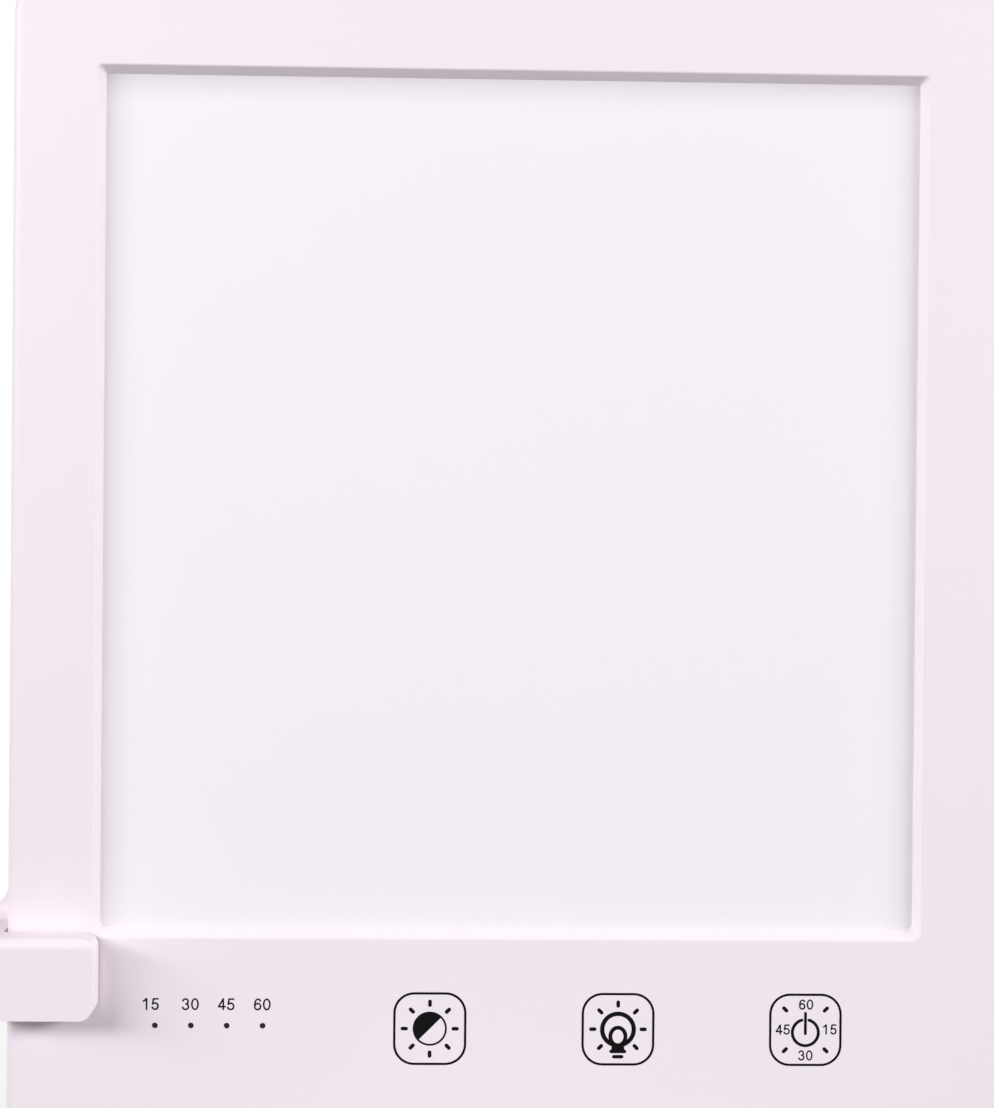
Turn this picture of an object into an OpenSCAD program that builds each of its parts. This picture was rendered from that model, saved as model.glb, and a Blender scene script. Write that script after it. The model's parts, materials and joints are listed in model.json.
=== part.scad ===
// Light therapy lamp: a flat edge-lit light panel with touch keys, gripped at its lower left edge
// by a bracket, on a short folding arm that turns on a weighted round base.
// Millimetres. Z is up and the light faces -Y. The origin is the middle of the base's underside,
// on the swivel axis and level with the sole of the foot pad.

/* [Panel] */
// Width of the light panel
panel_w = 200; // [190:1:230]
// Height of the light panel
panel_h = 237.5; // [215:0.5:280]
// Thickness of the panel, back face to front face
panel_t = 15; // [15:0.5:20]
// Corner radius of the panel's outline
panel_corner = 10; // [7:0.5:12]
// Rounding of the panel's front edge
front_edge = 1.8; // [1:0.1:2.2]
// Rounding of the panel's back edge
back_edge = 3; // [1.5:0.1:3.5]
// Wall thickness of both housing shells
shell_wall = 2.2; // [1.8:0.1:2.4]
// Height of the line where the two shells meet, above the back face
seam_z = 6; // [5.5:0.1:6.5]

/* [Light window] */
// Width of the bezel beside the window
side_margin = 16.8; // [16:0.1:22]
// Width of the bezel above the window
top_margin = 20; // [14:0.5:28]
// Height of the bezel below the window, where the keys are
chin_h = 44; // [42:0.5:60]
// Width of the sloping border round the window
bevel_w = 1.8; // [1.2:0.1:2.6]
// Depth of the window below the front face
window_depth = 2.4; // [2:0.1:3]
// Outer corner radius of the window's sloping border
window_corner = 1.8; // [1:0.1:2.5]

/* [Light engine] */
// Thickness of the opal diffuser
diffuser_t = 1.6; // [1:0.1:2]
// Thickness of the clear light guide
guide_t = 3; // [2.5:0.1:3.2]
// Thickness of the white reflector sheet
reflector_t = 0.5; // [0.3:0.05:0.6]
// Thickness of the aluminium heat spreader
spreader_t = 1.2; // [1:0.1:1.4]
// Thickness of the strip board that carries the light diodes
strip_t = 1.2; // [1:0.1:1.4]
// Number of light diodes on each side
diode_count = 18; // [10:1:22]

/* [Touch keys] */
// Distance from one key to the next
key_pitch = 37.6; // [24:0.1:38]
// Place of the first key from the panel's middle, to the right
first_key_x = -15.4; // [-20:0.1:-8]
// Height of the keys above the panel's lower edge
key_height = 25.5; // [23:0.1:27]
// Diameter of the sensing spring behind each key
key_spring_d = 12; // [9:0.5:13]
// Distance from one timer light to the next
dot_pitch = 7.15; // [6:0.05:8]
// Distance of the first timer light from the panel's left edge
dot_inset = 29.6; // [28:0.1:36]
// Height of the timer lights above the panel's lower edge
dot_height = 26.1; // [24:0.1:30]
// Diameter of the holes for the timer lights
dot_d = 1.2; // [1.1:0.1:1.6]

/* [Edge bracket] */
// Height of the jaw along the panel's edge
jaw_h = 16.1; // [12:0.1:20]
// Height of the jaw's underside above the panel's lower edge
jaw_bottom = 28.7; // [26:0.1:32]
// How far the jaw lies over the front face
jaw_reach = 18.4; // [10:0.1:24]
// Thickness of the jaw's front leaf
jaw_t = 7.4; // [5:0.1:9]
// Thickness of the bracket beside the panel's edge
spine_t = 6.7; // [5:0.1:9]
// Thickness of the soft liner in the jaw
liner_t = 0.6; // [0.4:0.1:1]
// Rounding of the jaw's upper edge
jaw_top_edge = 2.2; // [1:0.1:3]
// Thickness of the bracket's back plate
plate_t = 5; // [4.5:0.1:6]
// Width of the bracket's pad behind the panel's left edge
pad_w = 46; // [42:1:52]
// Height of the pad
pad_h = 63; // [60:1:70]
// How far the pad stands out past the panel's left edge
pad_overhang = 1.3; // [0.8:0.1:2]
// Radius of the hollow curve from the pad's edge out to the jaw
flare_r = 17.5; // [12:0.5:22]
// Height of the bar that runs from the pad to the hinge
bar_h = 36; // [34:1:40]
// How far the bar runs past the hinge's middle
bar_right = 36; // [34:1:44]

/* [Hinges] */
// Height of the tilt hinge above the panel's lower edge
tilt_up = 60; // [56:0.5:66]
// Distance of the tilt hinge behind the panel's back face
tilt_back = 20; // [18:0.5:24]
// Radius of the hinge knuckles
knuckle_r = 9; // [8.5:0.1:10]
// Width of the arm at its knuckles
knuckle_w = 17; // [14:0.5:20]
// Thickness of each hinge ear
ear_t = 7.4; // [7:0.1:9]
// Diameter of the hinge pins
pin_d = 6; // [5:0.5:6]

/* [Arm] */
// Distance between the arm's two hinge axes
arm_length = 80; // [76:1:120]
// Width of the arm between its ends
arm_w = 28; // [24:0.5:34]
// Thickness of the arm, front to back
arm_t = 13; // [12:0.5:14]

/* [Base] */
// Diameter of the base
base_d = 170; // [160:1:220]
// Height of the base's top face above the table
base_h = 20; // [19:0.5:24]
// Rounding of the base's upper edge
base_edge = 6; // [3:0.5:7]
// Wall thickness of the base shell
base_wall = 2.5; // [2:0.1:3]
// Thickness of the steel ballast disc
ballast_t = 8; // [5:0.5:8.5]
// Thickness of the base's bottom plate
bottom_t = 2; // [1.5:0.1:2.5]
// Diameter of the turret that turns on the base
turret_d = 48; // [47:0.5:60]
// Thickness of the turret's disc
turret_t = 6; // [5:0.5:8]
// Height of the arm's lower hinge above the turret's disc
turret_rise = 15.5; // [14:0.5:20]
// Diameter of the steel spindle that the turret turns on
spindle_d = 10; // [8:0.5:10]
// Half of the swivel's travel in degrees
swivel_half = 90; // [45:5:120]

/* [Fits] */
// Radial clearance of a pin in its bush
running = 0.05; // [0.02:0.01:0.08]
// Axial clearance between turning faces
face_gap = 0.1; // [0.05:0.01:0.15]
// Loose fit of a piece laid into its seat
lay_in = 0.2; // [0.1:0.05:0.3]

/* [Hidden] */
$fn = 64;
hull_fn = 32;
cut = 1; // how far a cutter runs past the face that it cuts

// Base, from the table up
foot_proud = 1.5;
foot_t = 2;
bottom_z = foot_proud + bottom_t;
bottom_d = base_d - 2 * base_wall - 2 * lay_in;
foot_pad_margin = 7; // from the bottom plate's edge
foot_pad_d = bottom_d - 2 * foot_pad_margin;
ballast_margin = 6;
ballast_d = bottom_d - 2 * ballast_margin;
ballast_hole_d = 40;
base_boss_inset = 25; // from the base's edge to a screw boss
boss_circle_r = base_d / 2 - base_boss_inset;
base_boss_d = 9;
base_screw_len = 8;
base_head_t = 0.9;
hub_d = 36;
hub_bottom = bottom_z + 5.1;
sleeve_wall = 2;
thrust_in_d = 34;
thrust_out_d = 44;
thrust_t = 1.2;
thrust_proud = 0.4;
turret_bottom = base_h + thrust_proud + face_gap;
turret_top = turret_bottom + turret_t;
stop_r = 12.6;
stop_d = 3;
stop_play = 0.3;
stop_drop = 1.5;
spindle_bottom = bottom_z + 0.8;
spindle_grip = turret_t - 1.5;
nut_t = 2.6;
spring_washer_t = 1.1;
spindle_nut_r = 9.2;
washer_bottom = hub_bottom - face_gap - spring_washer_t;
axis_low_z = turret_top + turret_rise;

// Hinges
bush_wall = 1;
flange_t = (2 * face_gap + 0.8) / 2 - face_gap / 2;
ear_gap = knuckle_w + 2 * (flange_t + face_gap / 2);
ear_out = ear_gap / 2 + ear_t;
cap_seat = 1;
cap_r = 6.2;
head_r = 5;
head_t = 3;
nut_r = 5.7;
pocket_depth = cap_seat + head_t + lay_in;
ear_base_r = knuckle_r + 4;
knuckle_clear = 12; // from a hinge axis to where the arm widens

// Panel, seen from the front: x from its middle, y from its lower edge, z from its back face
panel_bottom_z = axis_low_z + arm_length - tilt_up;
panel_back_y = -tilt_back;
win_w = panel_w - 2 * side_margin;
win_h = panel_h - top_margin - chin_h;
win_y = chin_h + win_h / 2;
plate_z = panel_t - window_depth; // inner side of the bezel's front plate
diffuser_z = plate_z - diffuser_t;
layer_gap = 0.1;
guide_z = diffuser_z - layer_gap - guide_t;
reflector_z = guide_z - layer_gap - reflector_t;
spreader_z = reflector_z - layer_gap - spreader_t;
sheet_lap = 2.8; // how far the diffuser runs behind the bezel
guide_half = win_w / 2 + 2.3;
diode_t = 0.8;
diode_x = guide_half + 0.3;
strip_x = diode_x + diode_t;
flange_x = strip_x + strip_t;
spreader_half = flange_x + spreader_t;
strip_len = win_h - 4;
diode_w = 3.2;
diode_h = 2;
housing_post_side = 6.4; // from the panel's side to a screw post
housing_post_end = 9; // from its lower or upper edge
post_x = panel_w / 2 - housing_post_side;
post_ys = [for (i = [0:3]) housing_post_end + i * (panel_h - 2 * housing_post_end) / 3];
rear_post_d = 8;
front_post_d = 5.6;
post_meet_z = seam_z + 1;
screw_d = 2.6;
screw_head_d = 5;
screw_head_t = 1.8;
lip_t = 1.2;
lip_h = 1.5;
back_plate_t = 2;
rib_t = 1.4;
vent_w = 2.4;
vent_len = 22;
vent_pitch = 6;
vent_half_count = 9;
vent_clear = 11; // above the bracket's bar and below the window's upper edge
vent_ys = [
    tilt_up + bar_h / 2 + vent_clear + vent_len / 2,
    panel_h - top_margin - vent_clear - vent_len / 2
];

// Boards in the chin
board_t = 1.6;
board_lift = 2; // from the front plate down to the touch board
touch_board_z = plate_z - board_lift - board_t;
touch_board_h = 22;
touch_post_d = 5;
post_inset = 5; // from a board's end to its screw
post_clear = 0.7; // beside a board's screw post
pipe_end = 1.5; // how far the light pipe's bar runs past its end lights
pipe_bar_h = 3;
first_dot_x = dot_inset - panel_w / 2;
last_key_x = first_key_x + 2 * key_pitch;
touch_post_xs = [
    first_dot_x - pipe_end - post_clear - touch_post_d / 2,
    last_key_x + key_spring_d / 2 + post_clear + touch_post_d / 2
];
board_head_d = 4.6;
board_head_t = 1.2;
board_grip = 1.6; // how far a board's screw runs into its post
driver_board_z = back_plate_t + 1.2;
driver_post_dx = 38;
coil_d = 10;
coil_h = 3;
capacitor_d = 6.3;
capacitor_h = 3.6;
controller_size = [9, 8, 1.5];
cable_size = [10, 1];
driver_board_w = 2 * (driver_post_dx + 4);
driver_board_h = 24;
driver_board_x = 16;
driver_board_y = 24;
jack_w = 9;
jack_len = 12;
jack_inset = 28; // from the panel's right edge
jack_x = panel_w / 2 - jack_inset;
jack_z = back_plate_t + jack_w / 2;
jack_hole_r = 2.8;
jack_pin_r = 1;
pipe_play = 0.05;
pipe_recess = 0.4;

// Bracket
edge_x = -panel_w / 2;
spine_x = edge_x - liner_t - spine_t;
pad_x = edge_x - pad_overhang;
jaw_top = jaw_bottom + jaw_h;
jaw_right = edge_x + jaw_reach;
jaw_front = panel_t + liner_t + jaw_t;
plate_back = -plate_t;
plate_corner = 8;
gusset_t = 1.8;
gusset_long = 34; // from an ear along the bar
gusset_short = 12;
gusset_side = 5; // from the middle of the bar
gusset_clear = 0.8; // below the hinge's cap
bar_end_w = 4 * plate_corner; // the part of the bar with the round end
spine_corner = 4;
flare_bite = 0.1; // how far the hollow curve cuts past the pad's edge, so that the two cross cleanly
flare_top = jaw_top + sqrt(pow(flare_r, 2) - pow(flare_r - (pad_x - spine_x), 2));
screw_in_left = 17; // from the pad's left edge, clear of the housing's own screw posts
screw_in_right = 7;
screw_in_end = 12;
bar_screw_end = 8;
bar_screw_side = 8;
bracket_screws_xy = [
    [pad_x + screw_in_left, jaw_bottom + pad_h - screw_in_end],
    [pad_x + pad_w - screw_in_right, jaw_bottom + pad_h - screw_in_end],
    [pad_x + (pad_w + screw_in_right) / 2, jaw_bottom + screw_in_end],
    [bar_right - bar_screw_end, tilt_up - bar_h / 2 + bar_screw_side],
    [bar_right - bar_screw_end, tilt_up + bar_h / 2 - bar_screw_side]
];
insert_d = 5.6;
insert_len = seam_z - 1.2;
bracket_screw_d = 4;
bracket_head_d = 7.2;
bracket_head_t = 2.4;

// Arm
arm_side_wall = 3;
arm_end_wall = 6;
arm_pocket_w = arm_w - 2 * arm_side_wall;
arm_body_len = arm_length - 2 * knuckle_clear;
arm_pocket_len = arm_body_len - 2 * arm_end_wall;
arm_corner = 8;
arm_pocket_corner = 5;
cover_t = 1.5;
cover_lap = 1.2;
arm_front_wall = 2.5;
cover_screw_inset = 5;
cover_screw_z = arm_pocket_len / 2 - cover_screw_inset;
cover_screw_d = 2.2;
cover_head_d = 4.4;
cover_head_t = 0.9;
cover_screw_len = 6;

// ---- Shared shapes ----

// Rounded rectangle about the origin
module round_rect(w, h, r) {
    square([w - 2 * r, h], center = true);
    square([w, h - 2 * r], center = true);
    for (sx = [-1, 1], sy = [-1, 1])
        translate([sx * (w / 2 - r), sy * (h / 2 - r)]) circle(r);
}

// Slab on z = 0 with a rounded outline and its upper edge rounded all the way round
module soft_slab(w, h, t, r, edge) {
    hull()
        for (sx = [-1, 1], sy = [-1, 1])
            translate([sx * (w / 2 - r), sy * (h / 2 - r), 0]) {
                cylinder(r = r, h = t - edge, $fn = hull_fn);
                translate([0, 0, t - edge])
                    rotate_extrude($fn = hull_fn) translate([r - edge, 0]) circle(edge, $fn = hull_fn);
            }
}

// Turns a 2D outline into a solid along X: the outline's x is Y and its y is Z
module along_x(length) {
    translate([-length / 2, 0, 0]) rotate([90, 0, 90]) linear_extrude(length) children();
}

// Cylinder along X between two places
module rod_x(from, to, r) {
    translate([from, 0, 0]) rotate([0, 90, 0]) cylinder(r = r, h = to - from);
}

// Puts a shape drawn in the panel's own axes where the panel stands
module at_panel() {
    translate([0, panel_back_y, panel_bottom_z]) rotate([90, 0, 0]) children();
}

module at_tilt_axis() {
    at_panel() translate([0, tilt_up, -tilt_back]) children();
}

module at_arm_axis() {
    translate([0, 0, axis_low_z]) children();
}

module at_posts() {
    for (sx = [-1, 1], y = post_ys) translate([sx * post_x, y, 0]) children();
}

module at_touch_posts() {
    for (x = touch_post_xs) translate([x, key_height, 0]) children();
}

module at_driver_posts() {
    for (sx = [-1, 1]) translate([driver_board_x + sx * driver_post_dx, driver_board_y, 0]) children();
}

module at_keys() {
    for (i = [0:2]) translate([first_key_x + i * key_pitch, key_height, 0]) children();
}

module at_dots() {
    for (i = [0:3]) translate([first_dot_x + i * dot_pitch, dot_height, 0]) children();
}

module at_bracket_screws() {
    for (p = bracket_screws_xy) translate([p[0], p[1], 0]) children();
}

module at_base_screws() {
    for (i = [0:3]) rotate([0, 0, 90 * i]) translate([boss_circle_r, 0, 0]) children();
}

// Screw with its head's underside on z = 0 and its shank going up
module screw(shank_d, length, head_d, head_t) {
    cylinder(d = shank_d, h = length);
    translate([0, 0, -head_t]) cylinder(d = head_d, h = head_t);
}

// ---- Housing of the panel ----

module front_bezel() color("white") at_panel() difference() {
    union() {
        difference() {
            translate([0, panel_h / 2, seam_z])
                soft_slab(panel_w, panel_h, panel_t - seam_z, panel_corner, front_edge);
            translate([0, panel_h / 2, seam_z - cut]) linear_extrude(plate_z - seam_z + cut)
                round_rect(panel_w - 2 * shell_wall, panel_h - 2 * shell_wall, panel_corner - shell_wall);
        }
        at_posts() translate([0, 0, post_meet_z]) cylinder(d = front_post_d, h = plate_z - post_meet_z);
        at_touch_posts() translate([0, 0, touch_board_z + board_t])
            cylinder(d = touch_post_d, h = plate_z - touch_board_z - board_t);
        bezel_ledge();
    }
    window_cut();
    at_posts() translate([0, 0, post_meet_z - cut])
        cylinder(d = screw_d, h = plate_z - post_meet_z + cut - lay_in);
    at_touch_posts() translate([0, 0, touch_board_z])
        cylinder(d = screw_d, h = plate_z - touch_board_z - lay_in);
    at_dots() translate([0, 0, plate_z - cut]) cylinder(d = dot_d, h = panel_t - plate_z + 2 * cut);
    jack_hole();
}

// Low wall behind the front plate that frames the diffuser
module bezel_ledge() {
    frame_w = win_w + 2 * sheet_lap + 2 * lay_in;
    frame_h = win_h + 2 * sheet_lap + 2 * lay_in;
    translate([0, win_y, diffuser_z]) linear_extrude(diffuser_t) difference() {
        square([frame_w + 2 * lip_t, frame_h + 2 * lip_t], center = true);
        square([frame_w, frame_h], center = true);
    }
}

// The window with its sloping border
module window_cut() {
    inner_w = win_w - 2 * bevel_w;
    inner_h = win_h - 2 * bevel_w;
    slope = bevel_w / window_depth;
    hull() {
        translate([0, win_y, plate_z - cut]) linear_extrude(cut)
            round_rect(inner_w, inner_h, window_corner / 2, $fn = hull_fn);
        translate([0, win_y, panel_t]) linear_extrude(cut / 10)
            round_rect(win_w + slope * cut / 5, win_h + slope * cut / 5, window_corner, $fn = hull_fn);
    }
}

module jack_hole() {
    translate([jack_x, shell_wall + cut, jack_z]) rotate([90, 0, 0])
        cylinder(d = jack_w - 1 + 2 * lay_in, h = shell_wall + 2 * cut);
}

module rear_cover() color("white") at_panel() difference() {
    union() {
        difference() {
            translate([0, panel_h / 2, seam_z]) mirror([0, 0, 1])
                soft_slab(panel_w, panel_h, seam_z, panel_corner, back_edge);
            translate([0, panel_h / 2, back_plate_t]) linear_extrude(seam_z)
                round_rect(panel_w - 2 * shell_wall, panel_h - 2 * shell_wall, panel_corner - shell_wall);
        }
        cover_lip();
        cover_ribs();
        at_posts() translate([0, 0, back_plate_t / 2])
            cylinder(d = rear_post_d, h = post_meet_z - back_plate_t / 2);
        at_bracket_screws() translate([0, 0, back_plate_t / 2])
            cylinder(d = insert_d + 2.4, h = spreader_z - layer_gap - back_plate_t / 2);
        at_driver_posts() translate([0, 0, back_plate_t / 2])
            cylinder(d = touch_post_d, h = driver_board_z - back_plate_t / 2);
    }
    at_posts() {
        translate([0, 0, -cut]) cylinder(d = screw_head_d + lay_in, h = screw_head_t + cut + 1);
        cylinder(d = screw_d + 2 * lay_in, h = post_meet_z + cut);
    }
    at_bracket_screws() {
        translate([0, 0, -cut]) cylinder(d = bracket_screw_d + 2 * lay_in, h = seam_z);
        cylinder(d = insert_d, h = insert_len);
    }
    at_driver_posts() translate([0, 0, back_plate_t]) cylinder(d = screw_d, h = driver_board_z);
    for (y = vent_ys) translate([0, y, 0]) vent_slots();
    jack_hole();
    translate([jack_x - jack_w / 2 - lay_in, shell_wall, back_plate_t])
        cube([jack_w + 2 * lay_in, jack_len + lay_in, seam_z + lip_h]);
}

// Tongue that stands up inside the front shell
module cover_lip() {
    w = panel_w - 2 * shell_wall - 2 * lay_in;
    h = panel_h - 2 * shell_wall - 2 * lay_in;
    r = panel_corner - shell_wall - lay_in;
    translate([0, panel_h / 2, back_plate_t]) linear_extrude(seam_z + lip_h - back_plate_t) difference() {
        round_rect(w, h, r);
        round_rect(w - 2 * lip_t, h - 2 * lip_t, r - lip_t);
    }
}

// Grid that stiffens the back and carries the heat spreader
module cover_ribs() {
    rib_h = spreader_z - layer_gap - back_plate_t;
    for (i = [-2:2]) translate([i * win_w / 5 - rib_t / 2, chin_h, back_plate_t])
        cube([rib_t, win_h - 1, rib_h]);
    for (i = [0:4]) translate([-win_w / 2, chin_h + 2 + i * (win_h - 6) / 4, back_plate_t])
        cube([win_w, rib_t, rib_h]);
}

// Row of upright slots with round ends
module vent_slots() {
    for (i = [-vent_half_count:vent_half_count])
        translate([i * vent_pitch, 0, -cut]) linear_extrude(back_plate_t + 2 * cut)
            round_rect(vent_w, vent_len, vent_w / 2 - 0.01);
}

module housing_screws() color("silver") at_panel() at_posts()
    translate([0, 0, screw_head_t + 1])
        screw(screw_d, plate_z - screw_head_t - 2, screw_head_d, screw_head_t);

// ---- Light engine ----

module diffuser() color("whitesmoke") at_panel()
    translate([0, win_y, diffuser_z + diffuser_t / 2])
        cube([win_w + 2 * sheet_lap, win_h + 2 * sheet_lap, diffuser_t], center = true);

module light_guide() color("azure") at_panel()
    translate([0, win_y, guide_z + guide_t / 2])
        cube([2 * guide_half, win_h + 3, guide_t], center = true);

module reflector_sheet() color("white") at_panel()
    translate([0, win_y, reflector_z + reflector_t / 2])
        cube([2 * guide_half, win_h + 3, reflector_t], center = true);

module heat_spreader() color("silver") at_panel() {
    translate([0, win_y, spreader_z + spreader_t / 2])
        cube([2 * spreader_half, win_h + 3, spreader_t], center = true);
    for (sx = [-1, 1])
        translate([sx * (flange_x + spreader_t / 2), win_y, (spreader_z + diffuser_z) / 2 - layer_gap / 2])
            cube([spreader_t, win_h + 3, diffuser_z - spreader_z - layer_gap], center = true);
}

module led_strip(side) {
    strip_h = guide_z + guide_t - reflector_z;
    translate([side * (strip_x + strip_t / 2), win_y, reflector_z + strip_h / 2])
        cube([strip_t, strip_len, strip_h], center = true);
}

module led_strip_left() color("white") at_panel() led_strip(-1);
module led_strip_right() color("white") at_panel() led_strip(1);

module led_chips() color("gold") at_panel()
    for (sx = [-1, 1], i = [0:diode_count - 1])
        translate([
            sx * (diode_x + diode_t / 2),
            win_y + (i - (diode_count - 1) / 2) * (strip_len - 8) / (diode_count - 1),
            guide_z + guide_t / 2
        ]) cube([diode_t, diode_w, diode_h], center = true);

// ---- Boards ----

module touch_board() color("green") at_panel() difference() {
    translate([touch_post_xs[0] - post_inset, key_height - touch_board_h / 2, touch_board_z])
        cube([touch_post_xs[1] - touch_post_xs[0] + 2 * post_inset, touch_board_h, board_t]);
    at_touch_posts() translate([0, 0, touch_board_z - cut])
        cylinder(d = screw_d + lay_in, h = board_t + 2 * cut);
}

// Sensing springs, each pressed between the board and the back of the front plate
module touch_springs() color("silver") at_panel() at_keys()
    translate([0, 0, touch_board_z + board_t]) difference() {
        cylinder(d = key_spring_d, h = plate_z - touch_board_z - board_t);
        translate([0, 0, -cut]) cylinder(d = key_spring_d - 2, h = plate_z);
    }

module timer_leds() color("orange") at_panel() at_dots()
    translate([-0.8, -0.4, touch_board_z + board_t]) cube([1.6, 0.8, 0.6]);

module timer_light_pipe() color("gray") at_panel() {
    bar_z = touch_board_z + board_t + 0.7;
    translate([first_dot_x - pipe_end, dot_height - pipe_bar_h / 2, bar_z])
        cube([3 * dot_pitch + 2 * pipe_end, pipe_bar_h, plate_z - bar_z]);
    at_dots() translate([0, 0, plate_z - 0.5])
        cylinder(d = dot_d - 2 * pipe_play, h = panel_t - plate_z + 0.5 - pipe_recess);
}

module driver_board() color("green") at_panel() difference() {
    translate([
        driver_board_x - driver_board_w / 2,
        driver_board_y - driver_board_h / 2,
        driver_board_z
    ]) cube([driver_board_w, driver_board_h, board_t]);
    at_driver_posts() translate([0, 0, driver_board_z - cut])
        cylinder(d = screw_d + lay_in, h = board_t + 2 * cut);
}

// Coil, two capacitors and the controller on the driver board
module driver_parts() color("dimgray") at_panel()
    translate([driver_board_x, driver_board_y, driver_board_z + board_t]) {
        translate([-driver_post_dx / 2, 0, 0]) cylinder(d = coil_d, h = coil_h);
        for (i = [0, 1]) translate([driver_post_dx / 2 + 1.4 * i * capacitor_d, 0, 0])
            cylinder(d = capacitor_d, h = capacitor_h);
        translate([0, 0, controller_size[2] / 2]) cube(controller_size, center = true);
    }

// Flat cable from the touch board down to the driver board
module ribbon_cable() color("lightgray") at_panel() {
    cable_x = driver_board_x - 0.7 * driver_post_dx;
    cable_z = driver_board_z + board_t;
    translate([cable_x, key_height - touch_board_h / 4, cable_z]) rotate([0, 0, 180])
        cube([cable_size[0], cable_size[1], touch_board_z - cable_z]);
}

module dc_jack() color("black") at_panel() difference() {
    union() {
        translate([jack_x - jack_w / 2, shell_wall, back_plate_t]) cube([jack_w, jack_len, jack_w]);
        translate([jack_x, shell_wall, jack_z]) rotate([90, 0, 0]) cylinder(d = jack_w - 1, h = shell_wall);
    }
    translate([jack_x, jack_len - 1, jack_z]) rotate([90, 0, 0]) difference() {
        cylinder(r = jack_hole_r, h = jack_len + cut);
        translate([0, 0, -cut]) cylinder(r = jack_pin_r, h = jack_len);
    }
}

module board_screws() color("silver") at_panel() {
    at_touch_posts() translate([0, 0, touch_board_z])
        screw(screw_d, board_t + board_grip, board_head_d, board_head_t);
    at_driver_posts() translate([0, 0, driver_board_z + board_t]) mirror([0, 0, 1])
        screw(screw_d, board_t + driver_board_z - back_plate_t - lay_in, board_head_d, board_head_t);
}

// ---- Edge bracket ----

module edge_bracket() color("white") at_panel() difference() {
    union() {
        translate([0, 0, plate_back]) linear_extrude(plate_t) bracket_outline();
        jaw();
        plate_to_spine_fillet();
        for (sx = [-1, 1]) translate([sx * (ear_out - ear_t / 2), 0, 0])
            along_x(ear_t) bracket_ear();
        bracket_gussets();
    }
    at_bracket_screws() translate([0, 0, plate_back - cut]) {
        cylinder(d = bracket_screw_d + 2 * lay_in, h = plate_t + 2 * cut);
        cylinder(d = bracket_head_d + 2 * lay_in, h = bracket_head_t + cut);
    }
    translate([0, tilt_up, -tilt_back]) ear_pockets();
}

// Pad behind the panel's left edge, the hollow flare out to the jaw, and the bar to the hinge
module bracket_outline() {
    jaw_middle = jaw_bottom + jaw_h / 2;
    pad_middle = pad_x + pad_w / 2;
    translate([pad_middle, jaw_bottom + pad_h / 2]) round_rect(pad_w, pad_h, plate_corner);
    translate([spine_x + spine_corner, jaw_bottom]) square([pad_w / 2, jaw_h]);
    translate([spine_x + spine_corner, jaw_bottom + spine_corner]) circle(spine_corner);
    translate([spine_x, jaw_bottom + spine_corner]) square([2 * spine_corner, jaw_h - spine_corner]);
    difference() {
        translate([spine_x, jaw_middle])
            square([pad_x - spine_x + plate_corner + cut, flare_top - jaw_middle]);
        translate([pad_x - flare_r + flare_bite, flare_top]) circle(flare_r);
    }
    translate([pad_middle, tilt_up - bar_h / 2]) square([bar_right - plate_corner - pad_middle, bar_h]);
    translate([bar_right - bar_end_w / 2, tilt_up]) round_rect(bar_end_w, bar_h, plate_corner);
    bar_fillets(6);
}

// Hollow curves where the bar leaves the pad
module bar_fillets(r) {
    x = pad_x + pad_w;
    for (side = [-1, 1]) {
        y = tilt_up + side * bar_h / 2;
        difference() {
            translate([x - cut, side > 0 ? y - cut : y - r]) square([r + cut, r + cut]);
            translate([x + r, y + side * r]) circle(r);
        }
    }
}

// The jaw round the panel's edge: the common part of its plan, its front outline and its side profile
module jaw() {
    depth = jaw_front - plate_back;
    intersection() {
        translate([0, jaw_top, 0]) rotate([90, 0, 0]) linear_extrude(jaw_h) jaw_plan();
        translate([0, 0, plate_back - cut]) linear_extrude(depth + 2 * cut) jaw_front_outline();
        translate([(spine_x + jaw_right) / 2, 0, 0])
            along_x(jaw_right - spine_x + 2 * cut) jaw_side_profile();
    }
}

module jaw_plan() {
    plan_r = 3.5;
    depth = jaw_front - plate_back;
    difference() {
        union() {
            translate([spine_x + plan_r, plate_back]) square([jaw_right - spine_x - plan_r, depth]);
            translate([spine_x, plate_back + plan_r]) square([plan_r, depth - 2 * plan_r]);
            for (z = [plate_back + plan_r, jaw_front - plan_r])
                translate([spine_x + plan_r, z]) circle(plan_r);
        }
        translate([edge_x - liner_t, 0]) square([jaw_reach + liner_t + cut, panel_t + liner_t]);
    }
}

module jaw_front_outline() {
    upper_r = 2.5;
    lower_r = 2.6;
    outer_r = spine_corner;
    w = jaw_right - spine_x;
    translate([spine_x, jaw_bottom + outer_r]) square([w, jaw_h - outer_r - upper_r]);
    translate([spine_x, jaw_top - upper_r - cut]) square([w - upper_r, upper_r + cut]);
    translate([spine_x + outer_r, jaw_bottom]) square([w - outer_r - lower_r, outer_r + cut]);
    translate([jaw_right - upper_r, jaw_top - upper_r]) circle(upper_r);
    translate([jaw_right - lower_r, jaw_bottom + lower_r]) circle(lower_r);
    translate([jaw_right - cut - lower_r, jaw_bottom + lower_r])
        square([lower_r + cut, outer_r - lower_r + cut]);
    translate([spine_x + outer_r, jaw_bottom + outer_r]) circle(outer_r);
}

module jaw_side_profile() {
    r = jaw_top_edge;
    translate([jaw_bottom, plate_back - cut]) square([jaw_h - r, jaw_front - plate_back + cut]);
    translate([jaw_bottom, plate_back - cut]) square([jaw_h, jaw_front - plate_back + cut - r]);
    translate([jaw_top - r, jaw_front - r]) circle(r);
}

// Hollow fillet from the front of the flare up to the top of the spine
module plate_to_spine_fillet() {
    r = 3;
    w = edge_x - liner_t - spine_x - 0.8;
    translate([edge_x - liner_t - w / 2, 0, 0]) along_x(w) difference() {
        translate([jaw_top - cut, -cut]) square([r + cut, r + cut]);
        translate([jaw_top + r, r]) circle(r);
    }
}

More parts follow.
